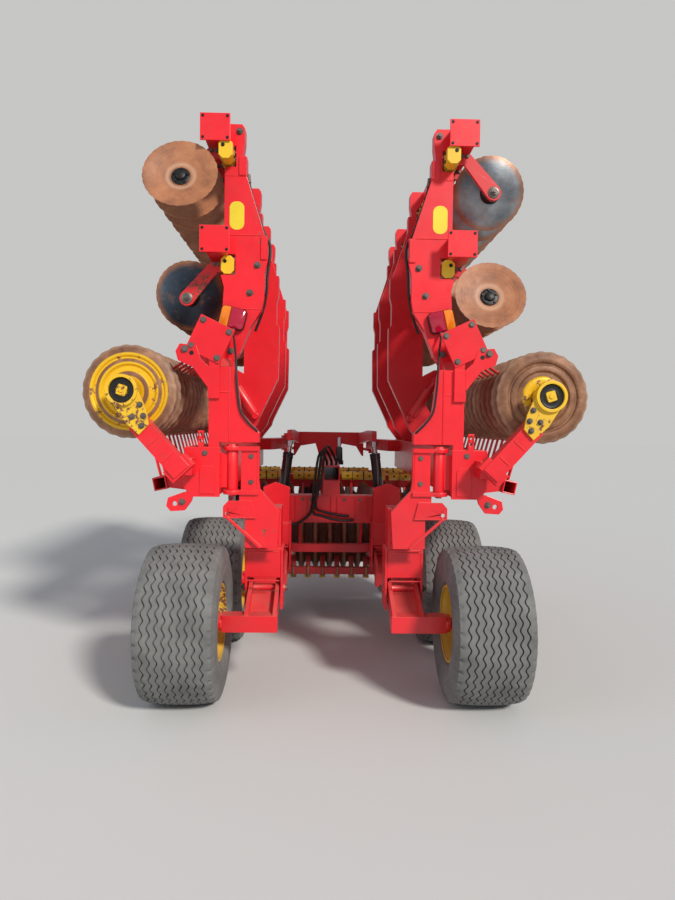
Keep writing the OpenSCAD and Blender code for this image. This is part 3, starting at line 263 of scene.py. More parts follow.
# one for each slot of the record, and more for worn arms and pieces made here
MAT = {
    "red_paint": paint("red_paint", (0.80, 0.006, 0.016), (0.66, 0.004, 0.013), 0.40),
    "arm_paint": paint("arm_paint", (0.72, 0.008, 0.014), (0.50, 0.010, 0.012), 0.335, 0.45, 1.5, 0.34),
    "yellow_paint": paint("yellow_paint", (0.80, 0.50, 0.012), (0.72, 0.40, 0.010), 0.372, 0.25, 0.0),
    "rusty_steel": rusty("rusty_steel", (0.07, 0.03, 0.02), (0.19, 0.09, 0.055), (0.33, 0.18, 0.11)),
    "disc_steel": rusty("disc_steel", (0.09, 0.035, 0.02), (0.22, 0.095, 0.05), (0.33, 0.17, 0.10), 0.45, 0.35),
    "dark_steel": plain("dark_steel", (0.012, 0.012, 0.013), 0.45, 0.3),
    "tyre": plain("tyre", (0.190, 0.190, 0.184), 0.88, 0.0, 0.45, 90.0, 0.5),
    "black_paint": plain("black_paint", (0.010, 0.010, 0.011), 0.30),
    "chrome_rod": plain("chrome_rod", (0.62, 0.63, 0.65), 0.18, 1.0, 0.1, 20.0, 0.02),
    "hose": plain("hose", (0.012, 0.012, 0.012), 0.55, 0.0, 0.3, 150.0, 0.25),
    "lamp": plain("lamp", (0.85, 0.22, 0.01), 0.15, 0.0, 0.1, 30.0, 0.02, **{"Coat Weight": 0.6}),
    "grey_steel": plain("grey_steel", (0.16, 0.16, 0.165), 0.42, 0.8, 0.4),
    "bolt": plain("bolt", (0.20, 0.17, 0.15), 0.42, 0.6, 0.45, 90.0, 0.1),
    "lamp_red": plain("lamp_red", (0.42, 0.006, 0.035), 0.14, 0.0, 0.1, 30.0, 0.02, **{"Coat Weight": 0.6}),
    "patch": plain("patch", (0.86, 0.66, 0.03), 0.4, 0.0, 0.15, 40.0, 0.05),
    "hoop": plain("hoop", (0.42, 0.38, 0.22), 0.45, 0.5, 0.4),
}
DISC_ARMS = ("wing_arms_left", "wing_arms_right", "centre_arms")
for name, obj in nodes.items():
    obj.data.materials.clear()
    obj.data.materials.append(MAT["arm_paint" if name in DISC_ARMS else slot_of[name]])

# edges of plates and tubes are a little round
UNBEVELLED = ("hoses", "discs", "hubs", "tyre", "wing_roller", "centre_roller")
EDGE_ROUND = 0.0025
RIB_EDGE_ROUND = 0.0012
for name, obj in nodes.items():
    if name == "centre_roller_frame" or not any(word in name for word in UNBEVELLED):
        weld = obj.modifiers.new("weld", "WELD")
        weld.merge_threshold = 0.00002
        edge_round = obj.modifiers.new("edges", "BEVEL")
        edge_round.width = RIB_EDGE_ROUND if "ribs" in name else EDGE_ROUND
        edge_round.segments = 2
        edge_round.limit_method = "ANGLE"
        edge_round.angle_limit = math.radians(40)
        edge_round.use_clamp_overlap = False

# ---------------- floor
FAR = 60
floor_mesh = bpy.data.meshes.new("floor")
floor_mesh.from_pydata([(-FAR, -FAR, 0), (FAR, -FAR, 0), (FAR, FAR, 0), (-FAR, FAR, 0)], [], [(0, 1, 2, 3)])
floor_mesh.materials.append(Shader("floor").finish(FLOOR, 0.9))
floor = bpy.data.objects.new("floor", floor_mesh)
bpy.context.scene.collection.objects.link(floor)


# ---------------- mesh helpers
def ngon(radius, count):
    """Points of a regular polygon."""
    angles = [2 * math.pi * k / count for k in range(count)]
    return [(radius * math.cos(a), radius * math.sin(a)) for a in angles]


def octagon(w, h, c):
    """Points of a rectangle of half sizes w and h, its corners cut by c."""
    return [(-w, -h + c), (-w + c, -h), (w - c, -h), (w, -h + c), (w, h - c), (w - c, h), (-w + c, h), (-w, h - c)]


def round_box(w, h, r, steps=5):
    """Points of a rectangle of sizes w and h with corners of radius r."""
    x, y = w / 2 - r, h / 2 - r
    pts = []
    for cx, cy, a0 in ((x, y, 0), (-x, y, 90), (-x, -y, 180), (x, -y, 270)):
        for k in range(steps + 1):
            a = math.radians(a0 + 90 * k / steps)
            pts.append((cx + r * math.cos(a), cy + r * math.sin(a)))
    return pts


def spline(points, steps):
    """Catmull-Rom curve through the points."""
    pts = [Vector(p) for p in points]
    out = []
    for i in range(len(pts) - 1):
        a, b, c, d = pts[max(i - 1, 0)], pts[i], pts[i + 1], pts[min(i + 2, len(pts) - 1)]
        for k in range(steps):
            t = k / steps
            out.append(0.5 * (2 * b + (c - a) * t + (2 * a - 5 * b + 4 * c - d) * t * t
                              + (3 * b - a - 3 * c + d) * t ** 3))
    return out + [pts[-1]]


def facing(place, axis):
    """Matrix at a place, its Z along an axis."""
    return Matrix.Translation(place) @ Vector(axis).to_track_quat("Z", "Y").to_matrix().to_4x4()


def along_y(x, y, z, sign=1):
    """Matrix at a place, its Z back along the machine, X outwards and Y up."""
    return Matrix(((sign, 0, 0, x), (0, 0, -1, y), (0, 1, 0, z), (0, 0, 0, 1)))


def piece(name, verts, faces, material, body, edge=32, slot=None, place=Matrix.Identity(4), uvs=()):
    """A smooth mesh object that rides on a body, sharp at edges over edge
    degrees. Its slot has the material's name; the argument slot is not used."""
    mesh = bpy.data.meshes.new(name)
    mesh.from_pydata([tuple(v) for v in verts], [], faces)
    mesh.validate()
    if uvs:
        layer = mesh.uv_layers.new(name="disc")
        for i, uv in enumerate(uvs):
            layer.data[i].uv = uv
    bm = bmesh.new()
    bm.from_mesh(mesh)
    bmesh.ops.recalc_face_normals(bm, faces=bm.faces)
    bm.to_mesh(mesh)
    bm.free()
    mesh.materials.append(MAT[material])
    obj = bpy.data.objects.new(name, mesh)
    obj.matrix_world = place
    bpy.context.scene.collection.objects.link(obj)
    for poly in mesh.polygons:
        poly.use_smooth = True
    mesh.set_sharp_from_angle(angle=math.radians(edge))
    bpy.context.view_layer.update()
    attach(obj, body)
    return obj


class Build:
    """Collects many small shapes into one mesh."""

    def __init__(self):
        self.verts = []
        self.faces = []

    def add(self, verts, faces, matrix=Matrix.Identity(4)):
        base = len(self.verts)
        self.verts += [matrix @ Vector(v) for v in verts]
        self.faces += [tuple(base + i for i in f) for f in faces]

    def lathe(self, profile, count, matrix=Matrix.Identity(4), wave=None):
        """Turns (radius, z) points about Z. A wave gives a factor for the
        radius from the point's index and the angle."""
        verts, faces = [], []
        n = len(profile)
        for k in range(count):
            a = 2 * math.pi * k / count
            for i, (r, z) in enumerate(profile):
                f = wave(i, a) if wave else 1.0
                verts.append((r * f * math.cos(a), r * f * math.sin(a), z))
        for k in range(count):
            for i in range(n - 1):
                a, b = k * n + i, ((k + 1) % count) * n + i
                if profile[i][0] < 1e-6:
                    faces.append((a, a + 1, b + 1))
                elif profile[i + 1][0] < 1e-6:
                    faces.append((a, a + 1, b))
                else:
                    faces.append((a, a + 1, b + 1, b))
        self.add(verts, faces, matrix)

    def prism(self, points, z0, z1, matrix=Matrix.Identity(4), chamfer=0.0):
        """Outline in X and Y between two heights, its upper edge chamfered."""
        n = len(points)
        c = Vector((sum(p[0] for p in points) / n, sum(p[1] for p in points) / n))
        rings = [(z0, 0.0), (z1 - chamfer, 0.0)]
        if chamfer:
            rings.append((z1, chamfer))
        verts = []
        for z, inset in rings:
            for p in points:
                d = Vector((p[0], p[1])) - c
                q = c + d * (1 - inset / max(d.length, 1e-9))
                verts.append((q.x, q.y, z))
        last = (len(rings) - 1) * n
        faces = [tuple(reversed(range(n))), tuple(range(last, last + n))]
        for a in range(0, last, n):
            for i in range(n):
                j = (i + 1) % n
                faces.append((a + i, a + j, a + n + j, a + n + i))
        self.add(verts, faces, matrix)

    def bolt(self, place, axis, across, high, washer=True, nut=0.0):
        """Hexagon head on its washer, standing on a face at place. Where nut is
        given, a thread of that radius ends above it."""
        m = facing(place, axis)
        if washer:
            self.prism(ngon(across * 0.72, 16), -0.001, 0.003, m)
        self.prism(ngon(across / 2 / math.cos(math.pi / 6), 6), 0.0, high, m, 0.0018)
        if nut:
            self.prism(ngon(nut, 10), high - 0.002, high + nut, m, 0.001)

    def tube(self, route, radius, sides):
        """Round tube with closed ends along a route of points."""
        pts = [Vector(p) for p in route]
        n = len(pts)
        u = None
        verts, faces = [], []
        for i, p in enumerate(pts):
            t = (pts[min(i + 1, n - 1)] - pts[max(i - 1, 0)]).normalized()
            if u is None:
                u = t.orthogonal().normalized()
            u = (u - t * u.dot(t)).normalized()
            v = t.cross(u)
            verts += [p + radius * (cos * u + sin * v) for cos, sin in ngon(1, sides)]
        last = (n - 1) * sides
        for a in range(0, last, sides):
            for k in range(sides):
                j = (k + 1) % sides
                faces.append((a + k, a + j, a + sides + j, a + sides + k))
        faces += [tuple(reversed(range(sides))), tuple(range(last, last + sides))]
        self.add(verts, faces)

    def done(self, name, material, body, **more):
        return piece(name, self.verts, self.faces, material, body, **more)

    def bolted(self, name, body):
        self.done(name, "bolt", body, edge=30, slot="grey_steel")


# ---------------- tyres
TRACK_HALF, _, TYRE_R = PIVOT["wheel_front_right_spin"]
AXLES = {axle: PIVOT[f"wheel_{axle}_right_spin"][1] for axle in ("rear", "front")}
TYRE_W = 0.460
RIM_R = 0.216
GROOVES = 9
GROOVE_W = 0.0075
GROOVE_DEPTH = 0.013
GROOVE_SWAY = 0.0085
NOTCH_DEPTH = 0.011
ZIGZAGS = 38
ZIG_STEPS = 8
TYRE_STEPS = ZIGZAGS * ZIG_STEPS
TREAD_HALF = TYRE_W / 2 - 0.030


def crown(x):
    """The tread's radius at x from the tyre's middle."""
    return TYRE_R - 0.0005 - 0.016 * (abs(x) / TREAD_HALF) ** 2.6


def tyre_profile():
    """(x, radius, share of the zigzag's sway, 1 where the shoulder's notches
    cut) from side to side."""
    edge = -TYRE_W / 2
    wall = [(0.046, RIM_R + 0.001), (0.0425, RIM_R + 0.004), (0.0425, RIM_R + 0.016), (0.022, RIM_R + 0.026),
            (0.020, RIM_R + 0.036), (0.010, RIM_R + 0.052), (0.003, RIM_R + 0.090), (0.0005, RIM_R + 0.120),
            (0.0030, RIM_R + 0.124), (0.0015, RIM_R + 0.128), (0.003, RIM_R + 0.160), (0.006, TYRE_R - 0.068)]
    notched = [(0.010, TYRE_R - 0.055), (0.015, TYRE_R - 0.036), (0.021, TYRE_R - 0.022),
               (0.031, crown(edge + 0.031) - 0.003)]
    left = [(edge + x, r, 0, 0) for x, r in wall] + [(edge + x, r, 0, 1) for x, r in notched]
    left.append((edge + 0.044, crown(edge + 0.044), 0.3, 0))
    tread = []
    for i in range(GROOVES):
        x = -TREAD_HALF + 2 * TREAD_HALF / (GROOVES + 1) * (i + 1)
        for dx, deep in ((-GROOVE_W / 2 - 0.0012, 0), (-GROOVE_W / 2 + 0.001, GROOVE_DEPTH),
                         (GROOVE_W / 2 - 0.001, GROOVE_DEPTH), (GROOVE_W / 2 + 0.0012, 0)):
            tread.append((x + dx, crown(x + dx) - deep, 1.0, 0))
    return left + tread + [(-x, *rest) for x, *rest in reversed(left)]


def tyre_mesh(name, side, sign, axle, seed):
    """Tyre with a rib tread: zigzag grooves all round, notched shoulders and
    ringed side walls."""
    rng = random.Random(seed)
    profile = tyre_profile()
    n = len(profile)
    verts, faces = [], []
    for k in range(TYRE_STEPS):
        a = 2 * math.pi * k / TYRE_STEPS
        zig = math.sin(2 * math.pi * k / ZIG_STEPS)
        notch = NOTCH_DEPTH if k % ZIG_STEPS in (0, 1) else 0.0
        for x, r, sway, notched in profile:
            r = r - notch * notched + (rng.uniform(-0.0004, 0.0004) if sway else 0)
            verts.append((x + GROOVE_SWAY * sway * zig, r * math.cos(a), r * math.sin(a)))
    for k in range(TYRE_STEPS):
        a, b = k * n, ((k + 1) % TYRE_STEPS) * n
        faces += [(a + i, a + i + 1, b + i + 1, b + i) for i in range(n - 1)]
        faces.append((a + n - 1, a, b, b + n - 1))
    place = Matrix.Translation((sign * TRACK_HALF, AXLES[axle], TYRE_R))
    obj = piece(name, verts, faces, "tyre", f"wheel_{axle}_{side}", edge=38, place=place)
    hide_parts(f"{axle}_tyre_{side}")


for side, sign in SIDES:
    for axle in AXLES:
        tyre_mesh(f"tyre_{axle}_{side}_tread", side, sign, axle, len(side) * 7 + len(axle))


# ---------------- rollers
ROLLER_X, _, ROLLER_Z = PIVOT["wing_roller_right_spin"]
# rear end of the wings' rollers
ROLLER_END = -3.490
RING_GAP = 0.127
# from the roller's end to the middle of its first ring
RING_FIRST = 0.030
RINGS = {"wing": 24, "centre": 15}
CENTRE_ROLLER_L = (RINGS["centre"] - 1) * RING_GAP + 2 * RING_FIRST
NOTCHES = 24
RING_NOTCH = 0.0065
ROLLER_STEPS = 120


def band(s, r, low, high, soft=0.004):
    """1 where r is between low and high."""
    up = s.node("ShaderNodeMapRange", interpolation_type="SMOOTHSTEP")
    down = s.node("ShaderNodeMapRange", interpolation_type="SMOOTHSTEP")
    for n, a, b in ((up, low - soft, low + soft), (down, high - soft, high + soft)):
        n.inputs["From Min"].default_value = a
        n.inputs["From Max"].default_value = b
        s.link(r, n.inputs["Value"])
    return s.math("MULTIPLY", up.outputs[0], s.math("SUBTRACT", 1.0, down.outputs[0]), clamp=True)


def roller_material(name, end, bands, worn):
    """Rust over cast rings, paler on the crests and darkened by painted shade
    between them, with what is left of yellow paint on the end face: bands of
    radii up to the place end, worn off where the noise is over the limit."""
    s = Shader(name)
    base = s.ramp(s.noise(6.0, 9.0, 0.66), (0.28, (0.085, 0.032, 0.016)), (0.5, (0.23, 0.100, 0.048)),
                  (0.72, (0.40, 0.215, 0.115)))
    speck = s.ramp(s.noise(80.0, 4.0, 0.7), (0.55, 0.0), (0.68, 0.5))
    base = s.mix(speck, base, (0.10, 0.045, 0.03))
    x, y, z = s.split()
    r = s.math("SQRT", s.math("ADD", s.times(x, x), s.times(z, z)))
    crest = band(s, r, 0.262, 0.30, 0.012)
    base = s.mix(s.times(crest, 0.55), base, (0.44, 0.29, 0.20))
    # painted shade: the valleys between the rings, past the end face, darkened nearly to black
    deep = s.math("SUBTRACT", 1.0, band(s, r, 0.222, 0.4, 0.02))
    inner = s.times(s.math("GREATER_THAN", y, 0.06), deep)
    base = s.mix(s.times(inner, 0.65), base, (0.05, 0.025, 0.02))
    face = s.math("LESS_THAN", y, end)
    painted = 0.0
    for low, high in bands:
        painted = s.math("ADD", painted, band(s, r, low, high), clamp=True)
    wear = s.ramp(s.noise(11.0, 7.0, 0.7), (worn, 1.0), (worn + 0.03, 0.0))
    mask = s.times(s.times(painted, face), wear)
    base = s.mix(mask, base, (0.80, 0.47, 0.01))
    rough = s.math("SUBTRACT", s.grain(25.0, 5.0, 0.3, 0.42), s.times(mask, 0.15))
    s.bump(s.noise(50.0, 8.0, 0.75), 0.3, 0.003)
    return s.finish(base, rough, 0.15)


MAT["roller_left"] = roller_material("roller_left", 0.03, ((0.192, 0.226), (0.118, 0.172), (0.0, 0.090)), 0.585)
MAT["roller_right"] = roller_material("roller_right", 0.03, ((0.0, 0.125),), 0.52)
MAT["roller_centre"] = roller_material("roller_centre", -9.0, ((0.0, 0.1),), 0.5)


def roller_mesh(which, node, body, count, shaft, place, seed):
    """Roller of cast rings with notched crests, turned from one profile: a
    dished end face with its shaft, the rings, and the other end face."""
    length = (count - 1) * RING_GAP + 2 * RING_FIRST
    end = [(0.0, -shaft), (0.0295, -shaft), (0.0295, 0.010), (0.070, 0.008), (0.078, 0.003), (0.112, 0.001),
           (0.120, 0.005), (0.126, 0.014), (0.148, 0.016), (0.155, 0.010), (0.161, 0.003), (0.184, 0.002),
           (0.190, 0.006), (0.195, 0.015), (0.203, 0.015), (0.208, 0.007), (0.214, 0.003), (0.232, 0.004)]
    crest = [(0.243, -0.021, 0.3), (0.257, -0.0165, 0.7), (0.269, -0.010, 1.0), (0.2748, -0.003, 1.0),
             (0.2748, 0.003, 1.0), (0.269, 0.010, 1.0), (0.257, 0.0165, 0.7), (0.243, 0.021, 0.3)]
    # from one ring down and up to the next
    valley = [(0.222, 0.026), (0.206, 0.034), (0.201, RING_GAP / 2), (0.206, RING_GAP - 0.034),
              (0.222, RING_GAP - 0.026)]
    # each point: radius, place along the roller, share of the notches' depth
    points = [(r, z, 0.0) for r, z in end]
    for i in range(count):
        mid = RING_FIRST + i * RING_GAP
        points += [(r, mid + z, share) for r, z, share in crest]
        if i < count - 1:
            points += [(r, mid + z, 0.0) for r, z in valley]
    points += [(r, length - z, 0.0) for r, z in reversed(end)]
    rng = random.Random(seed)
    turn = [rng.uniform(0, math.pi) for _ in range(count)]

    def wave(i, a):
        r, z, share = points[i]
        if not share:
            return 1.0
        ring = min(count - 1, max(0, round((z - RING_FIRST) / RING_GAP)))
        return 1.0 - share * RING_NOTCH / r * (1.0 - abs(math.sin(NOTCHES / 2 * (a + turn[ring]))))

    b = Build()
    b.lathe([(r, z) for r, z, _ in points], ROLLER_STEPS, Matrix.Rotation(-math.pi / 2, 4, "X"), wave)
    obj = b.done(f"roller_rings_{which}", f"roller_{which}", body, edge=40, slot="rusty_steel", place=place)
    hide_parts(node)


for side, sign in SIDES:
    roller_mesh(side, f"wing_roller_{side}", f"wing_roller_{side}", RINGS["wing"], 0.130,
                Matrix.Translation((sign * ROLLER_X, ROLLER_END, ROLLER_Z)), 11 + sign)
_, CENTRE_ROLLER_Y, CENTRE_ROLLER_Z = PIVOT["centre_roller_spin"]
roller_mesh("centre", "centre_roller", "centre_roller", RINGS["centre"], 0.062,
            Matrix.Translation((-CENTRE_ROLLER_L / 2, CENTRE_ROLLER_Y, CENTRE_ROLLER_Z))
            @ Matrix.Rotation(-math.pi / 2, 4, "Z"), 5)

# ---------------- discs
DISC_R = 0.225
DISC_T = 0.006
DISC_DISH = 0.038
SEAT_R = 0.062
TOE = math.radians(17)
HUB_L = 0.085
HUB_BOLTS = 5
ARM_T = 0.025
# from the beam's middle to the arm's end, outwards and down
DISC_OUT = 0.205
DISC_DROP = 0.315
DISC_GAP = 0.250
DISC_STEPS = 90
# every third step of a disc's rim is a nick
NICK = 0.0026
BEAM_HALF = 0.065
BEAM_L = 3.100
# rear ends of a wing's two beams, one over the other
BEAM_X, BEAM_Y = 0.745, -3.355
LOW_Z, HIGH_Z = 2.753, 3.410
# beam height, first arm ahead of the beam's rear end, way that the discs face
# on the left and on the right wing
ROWS = ((HIGH_Z, 0.105, -1, 1), (LOW_Z, 0.230, 1, -1))
WING_DISCS = 12
CENTRE_HALF = 1.000
CENTRE_Z = 1.070
# the same for the centre's beams across the machine: y, first arm, way, discs
CENTRE_ROWS = ((0.325, 0.105, -1, 8), (-0.332, 0.230, 1, 7))


def wing_discs(sign):
    """Matrix at the middle of each disc of a wing, Z out of its hollow side."""
    out = []
    for z, first, left, right in ROWS:
        turn = (left if sign < 0 else right) * (TOE - math.pi / 2)
        for i in range(WING_DISCS):
            m = Matrix.Translation((BEAM_X + DISC_OUT, BEAM_Y + first + i * DISC_GAP, z - DISC_DROP))
            m = m @ Matrix.Rotation(turn, 4, "X") @ Matrix.Translation((0, 0, HUB_L))
            out.append(Matrix.Scale(-1, 4, (1, 0, 0)) @ m if sign < 0 else m)
    return out


def centre_discs():
    """The same for the discs of the centre section."""
    out = []
    for y, first, face, count in CENTRE_ROWS:
        for i in range(count):
            m = Matrix.Translation((-CENTRE_HALF + first + i * DISC_GAP, y - DISC_DROP, CENTRE_Z - DISC_OUT))
            m = m @ Matrix.Rotation(face * (TOE - math.pi / 2), 4, "Z") @ Matrix.Rotation(-math.pi / 2, 4, "X")
            out.append(m @ Matrix.Translation((0, 0, HUB_L)))
    return out


def disc_material():
    """Rust on the hollow side, scoured steel on the other, where V is over a
    half. The steel has painted shade on the machine's left half and is painted
    sunlit on its right. U is the share of the radius."""
    s = Shader("disc_faces")
    u, v, _ = s.split(s.node("ShaderNodeUVMap").outputs[0])
    rings = s.node("ShaderNodeCombineXYZ")
    s.link(s.times(u, 26.0), rings.inputs[0])
    s.link(s.times(v, 60.0), rings.inputs[1])
    ring_noise = s.noise(1.0, 5.0, 0.6, rings.outputs[0])
    rust = s.ramp(s.noise(8.0, 9.0, 0.65), (0.30, (0.15, 0.052, 0.024)), (0.52, (0.33, 0.122, 0.052)),
                  (0.74, (0.47, 0.205, 0.092)))
    rust = s.mix(s.ramp(ring_noise, (0.35, 0.0), (0.7, 0.4)), rust, (0.50, 0.22, 0.105))
    rust = s.mix(s.ramp(u, (0.30, 0.0), (0.33, 0.5), (0.39, 0.5), (0.43, 0.0)), rust, (0.52, 0.33, 0.22))
    # painted shade: dark bluish steel for the discs on the machine's left half
    steel = s.ramp(s.noise(3.2, 6.0, 0.6), (0.36, (0.016, 0.024, 0.036)), (0.60, (0.050, 0.072, 0.100)),
                   (0.80, (0.22, 0.25, 0.28)))
    painted_sunlit_steel = s.ramp(s.noise(2.6, 6.0, 0.6), (0.34, (0.070, 0.085, 0.105)), (0.52, (0.26, 0.28, 0.30)),
                    (0.72, (0.50, 0.50, 0.50)))
    # painted light: the steel is painted sunlit on the machine's right half and in shade on its left
    steel = s.mix(s.math("GREATER_THAN", s.split()[0], 0.0), steel, painted_sunlit_steel)
    steel = s.mix(s.ramp(u, (0.80, 0.0), (0.97, 0.85)), steel, rust)
    steel = s.mix(s.ramp(s.noise(18.0, 6.0, 0.7), (0.55, 0.0), (0.7, 0.5)), steel, rust)
    back = s.math("GREATER_THAN", v, 0.5)
    colour = s.mix(back, rust, steel)
    rough = s.math("SUBTRACT", s.grain(30.0, 5.0, 0.25, 0.42), s.times(back, 0.18))
    s.bump(s.math("ADD", s.times(ring_noise, 0.6), s.noise(60.0, 6.0, 0.7)), 0.22, 0.002)
    return s.finish(colour, rough, s.times(back, 0.55))


MAT["disc_faces"] = disc_material()


def disc_piece(name, node, body, discs, seed):
    """Dished discs with slightly nicked rims. In their UV map V is over a half
    on the side of the hub, and differs from disc to disc."""
    rng = random.Random(seed)
    steps = 8
    curve = [(SEAT_R + (DISC_R - SEAT_R) * k / steps, DISC_DISH * k / steps * (0.55 + 0.45 * k / steps))
             for k in range(steps + 1)]
    profile = [(0.0, 0.0), *curve, (curve[-1][0] - 0.001, curve[-1][1] + DISC_T / 3)]
    profile += [(r, z + DISC_T) for r, z in reversed(curve[:-1])] + [(0.0, DISC_T)]
    n = len(profile)
    verts, faces, uvs = [], [], []
    for m in discs:
        base = len(verts)
        tag = rng.random() * 0.4
        nicks = [rng.uniform(0.0, 0.0014) + (NICK if k % 3 == 0 else 0.0) for k in range(DISC_STEPS)]
        for k in range(DISC_STEPS):
            a = 2 * math.pi * k / DISC_STEPS
            for r, z in profile:
                if r > DISC_R - 0.005:
                    r -= nicks[k]
                verts.append(m @ Vector((r * math.cos(a), r * math.sin(a), z)))
        for k in range(DISC_STEPS):
            p, q = base + k * n, base + ((k + 1) % DISC_STEPS) * n
            for i in range(n - 1):
                # (point, its place in the profile); the first and last face end on the axis
                corners = [(p + i, i), (p + i + 1, i + 1), (q + i + 1, i + 1), (q + i, i)]
                if i == 0:
                    del corners[3]
                elif i == n - 2:
                    del corners[2]
                faces.append(tuple(v for v, _ in corners))
                half = 0.55 if i < steps + 1 else 0.0
                uvs += [(profile[j][0] / DISC_R, half + tag) for _, j in corners]
    obj = piece(name, verts, faces, "disc_faces", body, edge=40, slot="disc_steel", uvs=uvs)
    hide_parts(node)


def hub_piece(name, node, body, discs):
    """Bearing housings from the arms to the discs, with the bolted flange and
    the cap in each dish."""
    b = Build()
    for m in discs:
        b.lathe([(0.0, -HUB_L + 0.014), (0.044, -HUB_L + 0.014), (0.048, -HUB_L + 0.020), (0.048, -0.040),
                 (0.044, -0.036), (0.044, -0.028), (0.052, -0.022), (0.062, -0.012), (0.064, -0.0012), (0.0, -0.0012)],
                28, m)
        b.lathe([(0.0, 0.0062), (0.058, 0.0062), (0.058, 0.0105), (0.054, 0.013), (0.033, 0.013), (0.031, 0.020),
                 (0.028, 0.027), (0.018, 0.031), (0.0, 0.032)], 28, m)
        for k in range(HUB_BOLTS):
            a = 2 * math.pi * (k + 0.3) / HUB_BOLTS
            at = m @ Matrix.Translation((0.045 * math.cos(a), 0.045 * math.sin(a), 0.013))
            b.prism(ngon(0.009, 6), 0, 0.008, at, 0.001)
    obj = b.done(name, "dark_steel", body, edge=35, slot="dark_steel")
    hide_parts(node)


def arm_nuts(name, body, discs):
    """Ring and nut on each arm's end, on the side away from its disc."""
    b = Build()
    for m in discs:
        way = m.to_3x3() @ Vector((0, 0, 1))
        along = 1 if abs(way.y) > abs(way.x) else 0
        n = Vector((0, 0, 0))
        n[along] = -math.copysign(1.0, way[along])
        end = facing(m @ Vector((0, 0, -HUB_L)) + n * ARM_T / 2, n)
        b.lathe([(0.036, -0.001), (0.036, 0.004), (0.033, 0.006), (0.0, 0.006)], 20, end)
        b.bolt(end @ Vector((0, 0, 0.006)), n, 0.036, 0.016, washer=False, nut=0.010)
    b.done(name, "bolt", body, edge=35, slot="grey_steel")


for side, sign in SIDES:
    disc_piece(f"discs_{side}", f"wing_discs_{side}", f"wing_{side}", wing_discs(sign), 3 + sign)
    hub_piece(f"hubs_{side}", f"wing_hubs_{side}", f"wing_{side}", wing_discs(sign))
disc_piece("discs_centre", "centre_discs", "frame", centre_discs(), 9)
hub_piece("hubs_centre", "centre_hubs", "frame", centre_discs())
for side, sign in SIDES:
    arm_nuts(f"arm_nuts_{side}", f"wing_{side}", wing_discs(sign))
arm_nuts("arm_nuts_centre", "frame", centre_discs())

# ---------------- beams' caps and clamps
SEAT = 0.0003
CAP_T = 0.010
# the screws' places from a beam's middle, across its caps
CAP_SCREWS = (0.073, 0.063)
CLAMP_W, CLAMP_H, CLAMP_L = 0.083, 0.112, 0.450
# from a beam's middle to its clamps' middle, away from the discs
CLAMP_OFF = 0.060
# along a clamp from its middle: dark rings, the middle one wider, and bolts
CLAMP_RINGS = (-0.115, 0.0, 0.115)
CLAMP_BOLTS = (-0.165, -0.062, 0.062, 0.165)
BACK = (0, -1, 0)


def clamp_ring(build, low, high, matrix):
    """Dark ring that stands a little out of a clamp's eight faces."""
    outer = octagon(CLAMP_W / 2 + 0.0012, CLAMP_H / 2 + 0.0012, 0.0225)
    inner = octagon(CLAMP_W / 2 - 0.01, CLAMP_H / 2 - 0.01, 0.018)
    verts = [(*p, z) for ring in (outer, inner) for z in (low, high) for p in ring]
    faces = []
    n = len(outer)
    for k in range(n):
        j = (k + 1) % n
        faces += [(k, j, n + j, n + k), (k, 2 * n + k, 2 * n + j, j), (n + k, n + j, 3 * n + j, 3 * n + k)]
    build.add(verts, faces, matrix)


def wing_clamps(sign, dark, bolts):
    """Screws in the beams' caps, and the rings and bolts of the clamps."""
    for z in (LOW_Z, HIGH_Z):
        for y, axis in ((BEAM_Y - CAP_T, -1), (BEAM_Y + BEAM_L + CAP_T + SEAT, 1)):
            for dx in (-CAP_SCREWS[0], CAP_SCREWS[0]):
                for dz in (-CAP_SCREWS[1], CAP_SCREWS[1]):
                    dark.bolt((sign * (BEAM_X + dx), y, z + dz), (0, axis, 0), 0.012, 0.005)
    clamp_x = BEAM_X - CLAMP_OFF
    for z, first, _, _ in ROWS:
        zc = z - BEAM_HALF - CLAMP_H / 2
        for i in range(0, WING_DISCS - 1, 2):
            mid = BEAM_Y + first + (i + 0.5) * DISC_GAP
            for off in CLAMP_RINGS:
                wide = 0.003 if off else 0.006
                clamp_ring(dark, 0.0, 2 * wide, along_y(sign * clamp_x, mid + off + wide, zc, sign))
            for off in CLAMP_BOLTS:
                for dz in (-0.026, 0.024):
                    dark.bolt((sign * (clamp_x - CLAMP_W / 2), mid + off, zc + dz), (-sign, 0, 0), 0.014, 0.007)
            for end in (-1, 1):
                dark.bolt((sign * (clamp_x + 0.016), mid + end * CLAMP_L / 2, zc + 0.022), (0, end, 0), 0.016, 0.008)
            # arms' bolts under the beam
            for arm in (-0.5, 0.5):
                for dx in (0.005, 0.036):
                    place = (sign * (BEAM_X + dx), mid + arm * DISC_GAP - ARM_T / 2, z - 0.100)
                    bolts.bolt(place, BACK, 0.020, 0.011)


# ---------------- wings' rear ends
BLOCK_Y = -3.405
# rear face of the plates on the block
PLATE_Y = BLOCK_Y - 0.018
RIB_Y = -3.1875
RIB_T = 0.090
RIB_FACE = RIB_Y - RIB_T / 2
# the bearing holders' faces, behind and in front
HOLDER_Y, HOLDER_FRONT_Y = ROLLER_END - 0.133, -0.366
ROLLER_ARM = (Vector((0.885, 1.370)), Vector((1.143, 1.654)))
PLATE_TURN = math.radians(25)
LAMP_W, LAMP_H = 0.160, 0.132


def line(sign, points):
    """Points with X towards the machine's left or right."""
    return [(sign * x, y, z) for x, y, z in points]


